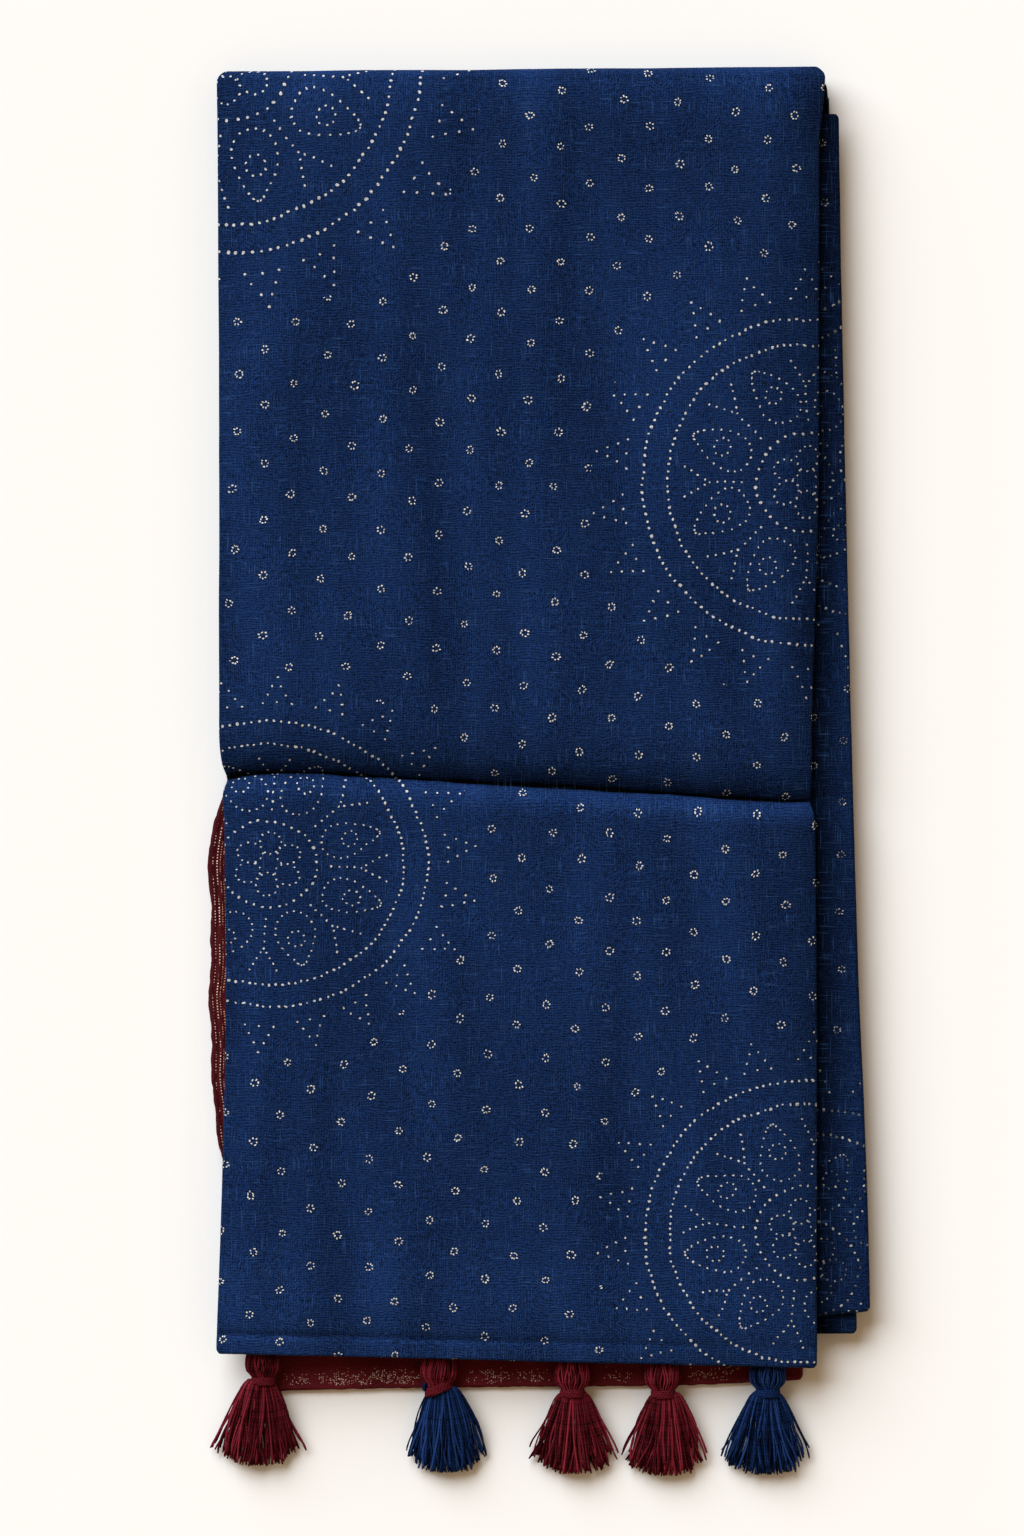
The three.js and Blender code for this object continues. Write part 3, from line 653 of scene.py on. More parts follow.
def sideBorderStrip():
    size = sideBorder
    half = size["thick"] / 2
    y = np.concatenate([
        size["near"] + half + np.array([0, 1, 2.6]),
        np.linspace(size["near"] + 6, size["far"] - 6, 190),
        size["far"] - half - np.array([2.6, 1, 0]),
    ])[:, None]
    shares = np.concatenate([[0, 0.02, 0.05, 0.09], np.linspace(0.13, 1, 26)])
    fray = size["fray"] * (softNoise(y / 5.1, 0, 51) + 0.6 * softNoise(y / 2.2, 0, 53))
    rim = curveAt(sideBorderEdge, y) + half
    x = mix(rim, size["inner"] - half, shares) + fray * (1 - shares) ** 4
    y = y + 0 * x
    u = x - rim + half
    middle = np.stack([x, y, thirdLevel + swellAt(x, y, swelling["third"])], -1)
    flat = np.stack([u, y], -1)
    past = u - size["setBack"] - 0.7 * softNoise(y / 31, 0, 55)
    raised = size["ply"] * np.clip(past / 1.1, 0, 1) - size["groove"] * bell(past, 0.8)
    raised -= size["pressed"] * bell(past - size["pressedAt"], 0.8)
    raised += 0.14 * softNoise(u / 3, y / 6, 57)
    raised *= np.clip(u / 2, 0, 1)
    grooves = [(0.5, ("near", "far", "left", "right"), 0.4)]
    return clothShell("side_border_cloth", middle, flat, half, raised, grooves, 59)


# Gathers closed tubes into one mesh. Its UV map runs once round each tube and along it in mm, and the
# attribute "tone" tells the tubes apart.
class Bundle:
    def __init__(self):
        self.points, self.faces, self.uvs, self.tones = [], [], [], []
        self.count = 0

    def tube(self, rings, tone):
        steps, sides = rings.shape[:2]
        centres = rings.mean(axis=1)
        along = np.concatenate([[0], np.cumsum(np.linalg.norm(np.diff(centres, axis=0), axis=1))])
        index = self.count + np.arange(steps * sides).reshape(steps, sides)
        following = np.roll(index, -1, axis=1)
        quads = np.stack([index[:-1], following[:-1], following[1:], index[1:]], -1)
        self.faces += quads.reshape(-1, 4).tolist()
        turn = np.arange(sides) / sides
        for low, high in zip(along[:-1], along[1:]):
            for t in turn:
                self.uvs += [(t, low), (t + 1 / sides, low), (t + 1 / sides, high), (t, high)]
        self.faces += [index[0, ::-1].tolist(), index[-1].tolist()]
        self.uvs += [(0.5, 0)] * sides + [(0.5, along[-1])] * sides
        self.points.append(rings.reshape(-1, 3))
        self.tones += [tone] * (steps * sides)
        self.count += steps * sides

    def build(self, name):
        return smoothMesh(name, self.points, self.faces, self.uvs, "tone", self.tones)


# Rings of points round a path. `hint` is a direction that the path never runs in.
def sweep(path, radii, sides, hint):
    tangent = unit(np.gradient(path, axis=0))
    side = unit(np.cross(np.asarray(hint, float), tangent))
    up = np.cross(tangent, side)
    angle = 2 * np.pi * (np.arange(sides) + 0.5) / sides
    spread = side[:, None] * np.cos(angle)[None, :, None]
    lift = up[:, None] * np.sin(angle)[None, :, None]
    return path[:, None] + (spread + lift) * np.reshape(radii, (-1, 1, 1))


# For each tassel, the x of its neck, the y of its neck and of its tips, half the width of its skirt, and
# how far to the right of the neck the skirt's roots lie and its tips lean
tasselRows = [
    (-132.9, -293, -334, 18.8, -1.4, -1.4),
    (-48.6, -296.6, -337.2, 17.6, 2.2, 1.6),
    (15.6, -299, -337.8, 17.8, 0.6, -1.4),
    (59.2, -299.4, -338.8, 18, 1.5, 0),
    (109.4, -299, -338.2, 18, -0.6, -1.2),
]
tasselPlaces = {
    "tassel_" + str(seed): dict(zip(("x", "neck", "tip", "spread", "root", "lean"), row), seed=seed)
    for seed, row in enumerate(tasselRows, 1)
}
# Past the neck, and there half the width, half the thickness and the height of the axis
headSections = [
    (-19.5, 4.4, 2.6, 9.9), (-17.5, 6.6, 4.3, 9.9), (-12.5, 8.2, 5.4, 9.8), (-8.5, 8.7, 5.5, 9.7),
    (-5.2, 8.1, 5.1, 9.5), (-3.4, 6.7, 4.4, 9.3), (-2, 5.6, 3.9, 9.1), (1.4, 5.4, 3.7, 8.9),
]
headSteps = [
    -19.5, -18.6, -17.4, -15.8, -14, -12, -10, -8.2, -6.8, -5.6, -4.8, -4.1, -3.5, -2.9, -2.2, -1.2, 1.2,
]
headYarns = {"count": 68, "overlap": 1.3, "sides": 6, "core": 0.86}
wrapping = {"turns": 5.2, "thread": 0.5, "height": 3.7, "wide": 5.6, "thick": 3.9, "axis": 8.9}
skirtLayers = [  # yarns, height of roots and tips, share of the spread
    (44, 11.2, 7.2, 0.94),
    (44, 10.2, 6.0, 1.0),
    (42, 9.0, 4.6, 1.02),
    (38, 7.8, 3.2, 1.0),
    (30, 6.8, 1.8, 0.96),
]
skirtYarns = {
    "root": 0.4, "tip": 0.52, "rootHalf": 5.4, "opening": 0.66, "round": 8.8, "ragged": 4.6,
    "sway": 3.4, "clump": 4.4, "cross": 0.24, "stray": 0.07, "sides": 6, "steps": 17,
}


def tasselHead(place):
    past = np.array(headSteps)
    wide, thick, height = (curveAt(np.array(headSections)[:, [0, k]], past) for k in (1, 2, 3))
    around = np.pi * (1.5 * (wide + thick) - np.sqrt(wide * thick))
    radius = headYarns["overlap"] * around / headYarns["count"] / 2
    random = np.random.default_rng(200 + place["seed"])

    def ringAt(angle, size):
        return np.stack([
            place["x"] + (wide * size - radius) * np.cos(angle),
            place["neck"] - past,
            height + (thick * size - radius) * np.sin(angle),
        ], -1)

    bundle = Bundle()
    core = [ringAt(angle, headYarns["core"]) for angle in np.linspace(0, 2 * np.pi, 25)[:-1]]
    # The core takes the darkest tone: painted shade in the gaps between the head's yarns
    bundle.tube(np.stack(core, 1), 0.0)
    for i in range(headYarns["count"]):
        angle = 2 * np.pi * (i + 0.3 * random.uniform(-1, 1)) / headYarns["count"]
        wander = 0.1 * np.sin(0.3 * past + random.uniform(0, 6.3)) * np.clip(-past / 6, 0, 1)
        path = ringAt(angle + wander, 1 + 0.05 * random.uniform(-1, 1))
        bundle.tube(sweep(path, radius, headYarns["sides"], (0, 0, 1)), random.uniform(0.2, 1))
    return bundle


# A thread wound round the neck, with both ends tucked in
def tasselWrap(place, tilt=0.0, size=1.0):
    turns = wrapping["turns"]
    angle = np.linspace(0, 2 * np.pi * turns, int(44 * turns))
    t = angle / angle[-1]
    tuck = 1 - 0.35 * (bell(t, 0.03) + bell(1 - t, 0.03))
    across = np.cos(angle + 1.9) * tuck
    path = np.stack([
        place["x"] + wrapping["wide"] * size * across,
        place["neck"] + wrapping["height"] * size * (0.5 - t) + tilt * across,
        wrapping["axis"] + wrapping["thick"] * size * np.sin(angle + 1.9) * tuck,
    ], -1)
    bundle = Bundle()
    bundle.tube(sweep(path, np.full(len(path), wrapping["thread"] * size), 8, (0, 1, 0)), 0.55)
    return bundle


def tasselSkirt(place):
    random = np.random.default_rng(100 + place["seed"])
    bundle = Bundle()
    steps = skirtYarns["steps"]
    t = np.linspace(0, 1, steps)
    for count, rootZ, tipZ, fan in skirtLayers:
        for i in range(count):
            across = 2 * (i + 0.5 + 0.45 * random.uniform(-1, 1)) / count - 1
            stray = 1 + skirtYarns["stray"] * (abs(across) > 0.88) * random.uniform(-0.5, 1)
            half = mix(skirtYarns["rootHalf"], place["spread"], t ** skirtYarns["opening"])
            sway = skirtYarns["sway"] * random.uniform(-1, 1) * t**1.4
            sway = sway * np.sin(random.uniform(2.5, 6) * t + random.uniform(0, 6.3))
            clump = skirtYarns["clump"] * softNoise(np.array(across * 4.2), rootZ, place["seed"])
            crossed = across + skirtYarns["cross"] * random.uniform(-1, 1) * t * (1 - abs(across))
            middle = place["x"] + place["root"] + place["lean"] * t
            x = middle + crossed * half * fan * stray + sway + clump * t**1.5
            cut = place["tip"] + skirtYarns["round"] * abs(across) ** 2.4
            cut += skirtYarns["ragged"] * random.uniform(0, 1) ** 2
            y = mix(place["neck"] + 0.8, cut, t)
            side = abs(across) ** 2
            z0 = mix(rootZ, 8.9, 0.75 * side)
            z1 = mix(tipZ, min(tipZ, 2.6), 0.85 * side) + 0.9 * random.uniform(-1, 1)
            z = mix(z0, z1, t**1.25) + (0.9 + 0.5 * random.uniform(-1, 1)) * np.sin(np.pi * t) * (1 - side)
            radii = mix(skirtYarns["root"], skirtYarns["tip"], t**0.7) * random.uniform(0.82, 1.18)
            radii[-2] *= 1.12
            radii[-1] *= 0.82
            path = np.stack([x, y, np.maximum(z, 0.8)], -1)
            bundle.tube(sweep(path, radii, skirtYarns["sides"], (0, 0, 1)), random.uniform(0, 1))
    return bundle


# The knot of blue yarn beside the second tassel's slanting wrap
def tasselKnot(place):
    angle = np.linspace(-0.4, 2 * np.pi - 0.9, 40)
    path = np.stack([
        place["x"] - 6.3 + 0.8 * np.cos(angle),
        place["neck"] + 0.6 + 1.3 * np.sin(angle),
        8.6 + 1.2 * np.sin(angle * 0.5),
    ], -1)
    bundle = Bundle()
    bundle.tube(sweep(path, np.full(len(path), 0.95), 8, (0, 0, 1)), 0.15)
    return bundle


# One node socket. Arithmetic on wires adds Math nodes, with a number on either side.
class Wire:
    def __init__(self, paint, socket):
        self.paint, self.socket = paint, socket

    def math(self, operation, *values):
        return self.paint.node("ShaderNodeMath", {"operation": operation}, values)

    def part(self, out):
        return Wire(self.paint, self.socket.node.outputs[out])

    def within(self, low, high):
        return self.most(low).least(high)

    # 0 where this wire is at `low` and 1 at `high`, smooth between them
    def ramp(self, low, high):
        values = {"Value": self, "From Min": low, "From Max": high}
        return self.paint.node("ShaderNodeMapRange", {"interpolation_type": "SMOOTHSTEP"}, values)


# Each operator and method adds the Math node named here, and the reflected ones swap its values
mathNodes = {
    "__add__": "ADD", "__sub__": "SUBTRACT", "__mul__": "MULTIPLY", "__truediv__": "DIVIDE",
    "__gt__": "GREATER_THAN", "__lt__": "LESS_THAN", "__abs__": "ABSOLUTE", "__floor__": "FLOOR",
    "__round__": "ROUND", "sin": "SINE", "cos": "COSINE", "root": "SQRT", "least": "MINIMUM",
    "most": "MAXIMUM",
}
reflected = {
    "__radd__": "ADD", "__rsub__": "SUBTRACT", "__rmul__": "MULTIPLY", "__rtruediv__": "DIVIDE",
}
for name, kind in mathNodes.items():
    setattr(Wire, name, lambda self, *others, kind=kind: self.math(kind, self, *others))
for name, kind in reflected.items():
    setattr(Wire, name, lambda self, other, kind=kind: self.math(kind, other, self))


def reach(x, y):
    return (x * x + y * y).root()


class Paint:
    def __init__(self, name):
        self.material = bpy.data.materials.new(name)
        self.material.use_nodes = True
        self.tree = self.material.node_tree
        self.tree.nodes.clear()

    # Adds a node: its settings first, then the values or wires of its sockets
    def node(self, kind, settings=None, values=(), out=0):
        made = self.tree.nodes.new(kind)
        for name, value in (settings or {}).items():
            setattr(made, name, value)
        pairs = values.items() if isinstance(values, dict) else enumerate(values)
        for key, value in pairs:
            if isinstance(value, Wire):
                self.tree.links.new(value.socket, made.inputs[key])
            else:
                made.inputs[key].default_value = value
        return Wire(self, made.outputs[out]) if made.outputs else made

    def vector(self, x, y, z=0.0):
        return self.node("ShaderNodeCombineXYZ", None, (x, y, z))

    def split(self, vector):
        parts = self.node("ShaderNodeSeparateXYZ", None, (vector,))
        return parts, parts.part(1), parts.part(2)

    def vectorMath(self, operation, *values, out=0):
        return self.node("ShaderNodeVectorMath", {"operation": operation}, values, out)

    def blend(self, share, first, second, how="MIX"):
        settings = {"data_type": "RGBA", "blend_type": how}
        return self.node("ShaderNodeMix", settings, {0: share, 6: first, 7: second}, out=2)

    # A colour made paler or darker by a wire
    def toned(self, colour, tone):
        return self.blend(1.0, colour, self.vector(tone, tone, tone), "MULTIPLY")

    def noise(self, vector, scale, detail):
        values = {"Vector": vector, "Scale": scale, "Detail": detail}
        return self.node("ShaderNodeTexNoise", {"noise_dimensions": "2D"}, values)

    def white(self, x, y):
        settings = {"noise_dimensions": "2D"}
        return self.node("ShaderNodeTexWhiteNoise", settings, {"Vector": self.vector(x, y)})

    # Three numbers from 0 to 1 by chance, the same ones for the same x and y
    def chances(self, x, y):
        return self.split(self.white(x, y).part(1))

    def flat(self):
        return self.node("ShaderNodeUVMap", {"uv_map": "flat"})

    # The number that the mesh has at each of its points under this name
    def told(self, name):
        return self.node("ShaderNodeAttribute", {"attribute_name": name}, out=2)

    def bump(self, height, distance):
        return self.node("ShaderNodeBump", None, {"Height": height, "Distance": distance})

    def finish(self, sockets):
        shader = self.node("ShaderNodeBsdfPrincipled", None, sockets)
        self.node("ShaderNodeOutputMaterial", None, {"Surface": shader})
        return self.material


turn = 2 * math.pi

# Sizes of the tied pattern, in mm, of a medallion at size 1
medallion = {
    "clear": 104,  # no rosettes within this
    "dot": 0.6,
    "smallDot": 0.46,
    "wobbles": [(0.045, 3), (0.3, 1.1)],  # how fine, and by how much it shifts the pattern
    "sectors": 8,
    # rings of dots, from the middle out: where the ring's zone starts, its radius and its dots
    "rings": [(0, 23.5, 36), (45, 66.4, 126), (72.4, 78.4, 140)],
    "petal": {"count": 6, "at": 11, "long": 6.2, "wide": 5.2, "dots": 11},
    "oval": {"at": 43.5, "long": 14.8, "wide": 8.6, "taper": 0.26, "dots": 22, "eye": 4.1, "eyeDots": 8},
    "stem": {"from": 30, "step": 4.05, "dots": 5, "dot": 0.5},
    "fork": {"from": (48.6, 1.4), "along": (0.857, 0.515), "step": 3.75, "dots": 4},
    "flame": {"count": 22, "base": 87.6, "half": 6.8, "height": 14.4},
}
rosette = {
    "pitchU": 14, "pitchV": 27.2, "shift": 0.548, "start": 0.452, "plumb": 83, "drift": 0.016,
    "ring": 1.56, "dashes": 6,
}


# Splits a turn into equal parts: which of them an angle is in, and the angle from that part's middle
def sectorAt(theta, count):
    cell = theta * count / turn
    which = math.floor(cell)
    return which, (cell - which - 0.5) * turn / count


# How far a point is from the nearest of the dots round an ellipse
def fromEllipse(x, y, long, wide, dots):
    cell = x.math("ARCTAN2", y / wide, x / long) * dots / turn
    angle = (math.floor(cell) + 0.5) / dots * turn
    return reach(x - long * angle.cos(), y - wide * angle.sin())


# How near a point is to the next tied dot, in radii of the dot: below 1 is inside it
def medallionDots(paint, local, number):
    x, y, _ = paint.split(local)
    r = reach(x, y)
    theta = x.math("ARCTAN2", y, x)
    ring, dots = medallion["rings"][0][1], medallion["rings"][0][2]
    lastRing, lastDots = ring, dots
    for zone, nextRing, nextDots in medallion["rings"][1:]:
        on = r > zone
        extra = nextRing - lastRing
        ring = on * extra + ring
        dots = on * (nextDots - lastDots) + dots
        lastRing, lastDots = nextRing, nextDots
    which, phi = sectorAt(theta, dots)
    jitterX, jitterY, size = paint.chances(which, math.floor(r / 7) + number * 7)
    arc = phi * ring + (jitterX - 0.5) * 0.7
    nearest = reach(arc, r - ring + (jitterY - 0.5) * 0.6) / (medallion["dot"] * (0.82 + 0.4 * size))
    hollow = (size > 0.88) * (nearest < 0.55)
    nearest = nearest + hollow * 0.5

    # round petals about the middle
    petal = medallion["petal"]
    _, phi = sectorAt(theta, petal["count"])
    px, py = r * phi.cos() - petal["at"], r * phi.sin()
    near = fromEllipse(px, py, petal["long"], petal["wide"], petal["dots"])
    nearest = nearest.least(near / medallion["smallDot"])

    # ovals between the stems, each turned and moved a little, with an eye of small dots
    oval = medallion["oval"]
    sector, phi = sectorAt(theta, medallion["sectors"])
    tilt, away, lean = paint.chances(sector, number + 3.0)
    ox = r * phi.cos() - oval["at"] + (away - 0.5) * 3
    oy = r * phi.sin() + (lean - 0.5) * 3
    angle = (tilt - 0.5) * 1.2
    rx = ox * angle.cos() + oy * angle.sin()
    ry = oy * angle.cos() - ox * angle.sin()
    wide = oval["wide"] - oval["taper"] * rx
    isEye = reach(rx / oval["long"], ry / wide) < 0.62
    semiLong = oval["long"] - isEye * (oval["long"] - oval["eye"])
    semiWide = wide - isEye * (wide - oval["eye"])
    dots = oval["dots"] - isEye * (oval["dots"] - oval["eyeDots"])
    near = fromEllipse(rx, ry, semiLong, semiWide, dots)
    nearest = nearest.least(near / medallion["smallDot"])

    # a forked stem on each of the lines between the ovals
    _, phi = sectorAt(theta + turn / 2 / medallion["sectors"], medallion["sectors"])
    sx = r * phi.cos()
    sy = abs(r * phi.sin())
    stem = medallion["stem"]
    step = round((sx - stem["from"]) / stem["step"]).within(0, stem["dots"] - 1)
    near = reach(sx - stem["from"] - step * stem["step"], sy)
    fork = medallion["fork"]
    (fx, fy), (ax, ay) = fork["from"], fork["along"]
    step = round(((sx - fx) * ax + (sy - fy) * ay) / fork["step"]).within(0, fork["dots"] - 1)
    length = step * fork["step"]
    near = near.least(reach(sx - fx - length * ax, sy - fy - length * ay))
    nearest = nearest.least(near / stem["dot"])

    # small flames round the outside: both sides of each, and one dot at its base
    flame = medallion["flame"]
    sector, phi = sectorAt(theta, flame["count"])
    shift, grow, _ = paint.chances(sector, number + 11.0)
    fx = r * phi.cos() - flame["base"] + (shift - 0.5) * 3.4
    fy = abs(r * phi.sin() + (grow - 0.5) * 1.6)
    side = math.hypot(flame["half"], flame["height"])
    ax, ay = flame["height"] / side, -flame["half"] / side
    step = round((fx * ax + (fy - flame["half"]) * ay) / (side / 3)).within(0, 3) * (side / 3)
    near = reach(fx - step * ax, fy - flame["half"] - step * ay).least(reach(fx - 0.6, fy))
    return nearest.least(near / stem["dot"])


def rosetteDashes(paint, u, v):
    column = (u - (v - rosette["plumb"]) * rosette["drift"]) / rosette["pitchU"]
    whichU = math.floor(column)
    row = v / rosette["pitchV"] + whichU * rosette["shift"] - rosette["start"]
    whichV = math.floor(row)
    jitterU, jitterV, spin = paint.chances(whichU, whichV)
    x = (column - whichU - 0.5) * rosette["pitchU"] + (jitterU - 0.5) * 2.4
    y = (row - whichV - 0.5) * rosette["pitchV"] + (jitterV - 0.5) * 4.2
    r = reach(x, y)
    dashes = rosette["dashes"] + (spin > 0.55)
    cell = (x.math("ARCTAN2", y, x) / turn + spin) * dashes
    which = math.floor(cell)
    long, near, askew = paint.chances(which + whichU * 5, whichV)
    away = r - rosette["ring"] + (near - 0.5) * 0.4
    arc = (cell - which - 0.5 + (askew - 0.5) * 0.3) * turn / dashes * r + away * (long - 0.5)
    return reach(away / (0.5 - 0.17 * long), arc / (0.24 + 0.26 * long))


# How far a noise lies from its middle, at about 1 on the whole
def strand(paint, x, y):
    return (paint.noise(paint.vector(x, y), 1.0, 0.0) - 0.5) * 8


# The weave: how far apart its threads are at a pitch of 1, how far they wander, how strong each part of
# its texture is, how unevenly it took the dye, and how dark it gets
loom = {
    "warp": 1.2, "weft": 1.26, "wander": 0.26, "crinkle": 0.3, "grain": 0.36, "relief": 0.22,
    "slub": 0.3, "dye": 0.08, "patches": 0.14, "darkest": 0.34,
}


# Handloom cotton: a plain weave whose threads wander, more of the weft in some places and of the warp
# in others, with a fine slanting crinkle and a few slubs. Returns a tone that varies about 1, a height
# and how much of a slub there is.
def handloom(paint, flat, u, v, pitch, contrast):
    wanderU = strand(paint, u / 7, v / 11) * loom["wander"]
    wanderV = strand(paint, u / 11 + 50, v / 7) * loom["wander"]
    warps = ((u + wanderU) * (turn / (loom["warp"] * pitch))).sin()
    wefts = ((v + wanderV) * (turn / (loom["weft"] * pitch))).sin()
    warpThreads = strand(paint, u / (0.5 * pitch), v / 2.2 + 40)
    weftThreads = strand(paint, u / 2.2, v / (0.5 * pitch))
    grain = strand(paint, u / (0.6 * pitch), v / (0.6 * pitch) + 90)
    patches = paint.noise(flat, 0.07, 1.0)
    leftward = strand(paint, (u * 0.77 + v * 0.64) / 3, (v * 0.77 - u * 0.64) / (0.74 * pitch))
    rightward = strand(paint, (u * 0.87 - v * 0.5) / 3, (v * 0.87 + u * 0.5) / (0.74 * pitch) + 30)
    slants = patches.ramp(0.45, 0.56)
    level = paint.noise(flat, 0.045, 1.0).ramp(0.40, 0.58)
    crinkle = (leftward * slants + rightward * (1 - slants)) * (1.2 - level * 0.8)
    weave = wefts * (0.36 + level * 0.3) + warps * (0.56 - level * 0.3) + wefts * warps * 0.5
    threads = weftThreads * (0.17 + level * 0.13) + warpThreads * (0.27 - level * 0.13)
    texture = weave + threads + crinkle * loom["crinkle"] + grain * loom["grain"]
    slub = strand(paint, u / 0.6, v / 13 + 7).ramp(1.6, 3.0)
    slub = slub + strand(paint, u / 13 + 7, v / 0.6).ramp(1.7, 3.1)
    dye = strand(paint, u / 22, v / 130) * loom["dye"] + (patches - 0.5) * loom["patches"]
    tone = (1 + texture * contrast + dye).most(loom["darkest"])
    return tone, texture * loom["relief"] + slub * loom["slub"], slub


clothColours = {
    "ground": (0.0054, 0.0182, 0.069, 1),
    "thread": (0.045, 0.12, 0.33, 1),  # a slub that took less dye
    "dot": (0.62, 0.64, 0.66, 1),
    "rosette": (0.76, 0.76, 0.74, 1),
}
# How much of each covers the ground, and how much darker the dye is round the dots
clothShares = {"thread": 0.22, "dot": 0.92, "rosette": 0.95, "halo": 0.35}


# Indigo cotton with the tied pattern. Medallions are (x, y, width, height, turn) on the flat cloth, and
# `lost` is how much of the pattern hasn't come out.
def bandhaniCloth(name, medallions, number, lost):
    paint = Paint(name)
    flat = paint.flat()
    place = flat
    for fineness, amount in medallion["wobbles"]:
        wobble = paint.noise(flat, fineness, 1.0).part(1)
        wobble = paint.vectorMath("SUBTRACT", wobble, (0.5, 0.5, 0.5))
        place = paint.vectorMath("MULTIPLY_ADD", wobble, (amount,) * 3, place)
    u, v, _ = paint.split(flat)
    pu, pv, _ = paint.split(place)
    local = paint.vector(0.0, 0.0)
    covered = 0.0
    for cx, cy, wide, tall, spin in medallions:
        away = paint.vectorMath("SUBTRACT", place, (cx, cy, 0))
        away = paint.vectorMath("MULTIPLY", away, (1 / wide, 1 / tall, 1))
        away = paint.node(
            "ShaderNodeVectorRotate", {"rotation_type": "Z_AXIS"}, {"Vector": away, "Angle": spin}
        )
        inside = paint.vectorMath("LENGTH", away, out=1) < medallion["clear"]
        near = paint.node("ShaderNodeVectorMath", {"operation": "SCALE"}, {0: away, "Scale": inside})
        local = paint.vectorMath("ADD", local, near)
        covered = inside + covered
    tied = medallionDots(paint, local, number)
    cameOut = 1 - lost * paint.noise(flat, 0.16, 1.0).ramp(0.42, 0.56)
    dots = covered * tied.ramp(1.2, 0.72) * cameOut
    dash = rosetteDashes(paint, pu, pv)
    dashes = (1 - covered) * dash.ramp(1.2, 0.7) * cameOut
    halo = (covered * tied.ramp(2.4, 1.2)).most((1 - covered) * dash.ramp(3.2, 1.4))
    tone, height, slubs = handloom(paint, flat, u, v, 1.0, 0.46)
    # The mesh's painted light and shade lightens or darkens the weave's tone
    paintedShading = paint.told("paintedShading")
    tone = tone * (1 + paintedShading) * (1 - halo * clothShares["halo"])

    ground = paint.toned(clothColours["ground"], tone)
    ground = paint.blend(slubs * clothShares["thread"], ground, clothColours["thread"])
    # The tied dots and dashes are dimmed by the same painted shade
    weave = (0.8 + tone * 0.2) * (1 + paintedShading * 0.75).within(0.35, 1)
    colour = ground
    for name, shown in (("dot", dots), ("rosette", dashes)):
        tied = paint.toned(clothColours[name], weave)
        colour = paint.blend(shown * clothShares[name], colour, tied)
    return paint.finish({
        "Base Color": colour,
        "Roughness": 0.95 - height * 0.05,
        "Normal": paint.bump(height, 0.3 * mm),
        "Specular IOR Level": 0.04,
    })


zariColours = {
    "ground": (0.096, 0.009, 0.0135, 1),
    "gold": (0.66, 0.27, 0.14, 1),
    "silver": (0.86, 0.74, 0.68, 1),
}


# Maroon cotton with bright supplementary threads. `specksAt` says how much of one shows at a place, and
# how pale it is, from the distance in from the border's edge and the distance along it.
def zariCloth(name, edgeIsV, specksAt, paintedShade=1.0):
    paint = Paint(name)
    flat = paint.flat()
    u, v, _ = paint.split(flat)
    inward, along = (v, u) if edgeIsV else (u, v)
    tone, height, _ = handloom(paint, flat, u, v, 0.9, 0.22)
    # A factor below 1 darkens the ground as painted shade
    ground = paint.toned(zariColours["ground"], tone * paintedShade)
    shown, bright = specksAt(paint, inward, along)
    metal = paint.blend(bright, zariColours["gold"], zariColours["silver"])
    return paint.finish({
        "Base Color": paint.blend(shown, ground, metal),
        "Roughness": 0.92 - shown * 0.4,
        "Metallic": shown * 0.25,
        "Normal": paint.bump(height + shown * 0.8, 0.25 * mm),
        "Specular IOR Level": 0.06,
    })


# Where the stitches under the near hem show: the middle and half the length of each patch, and how full
# it is
stitchPatches = [(-117, 8, 0.35), (-82, 29, 0.95), (-16, 23, 0.5), (36, 10, 0.3), (84, 15, 0.4)]


# Under the near hem: short bright stitches in rows, in patches
def endSpecks(paint, inward, along):
    cellU, cellV = along / 0.92, inward / 0.74
    whichU, whichV = math.floor(cellU), math.floor(cellV)
    chance = paint.white(whichU, whichV)
    shiftU, shiftV, bright = paint.split(chance.part(1))
    du = (cellU - whichU - 0.5) + (shiftU - 0.5) * 0.8
    dv = (cellV - whichV - 0.5) + (shiftV - 0.5) * 0.7
    fleck = reach(du / 0.36, dv / 0.36).ramp(1.15, 0.6)
    shown = 0.0
    for at, half, full in stitchPatches:
        shown = (1 - abs(along - at) / half).ramp(0, 0.45) * full + shown
    ragged = paint.noise(paint.vector(along / 9, inward / 3 + 9), 1.0, 1.0)
    band = (inward + ragged * 4).ramp(4.2, 5.2) * (inward + ragged * 5).ramp(12.4, 9.4)
    likely = band * shown * (0.3 + 0.5 * ragged.ramp(0.4, 0.58))
    return fleck * (chance.part(0) < likely) * (0.5 + 0.5 * bright), 0.4 + bright * 0.6


# The lines of stitches along the left side: how far in each is, half its width, the distance from one
# stitch to the next, the level of the wear above which it shows, and how much of it is pale
stitchLines = [
    (2.3, 0.3, 1.5, 0.42, 1.0), (4.3, 0.33, 1.4, 0.42, 0.9),
    (5.9, 0.32, 1.2, 0.41, 0.2), (7.3, 0.34, 1.3, 0.42, 0.1),
]


def sideSpecks(paint, inward, along):
    wander = paint.noise(paint.vector(along / 24, 3.0), 1.0, 1.0) * 1.2 - 0.6
    worn = paint.noise(paint.vector(along / 9, inward / 2), 1.0, 1.0)
    shown, silver = 0.0, 0.0
    for at, wide, pitch, least, pale in stitchLines:
        cell = along / pitch + at
        uneven = paint.white(math.floor(cell), at)
        step = (cell - math.floor(cell) - 0.5 + (uneven - 0.5) * 0.3) * pitch
        stitch = reach((inward + wander - at) / wide, step / 0.4).ramp(1.15, 0.6)
        stitch = stitch * worn.ramp(least, least + 0.08) * (0.7 + 0.3 * uneven)
        shown = stitch.most(shown)
        silver = stitch * pale + silver
    return shown, silver.least(1)


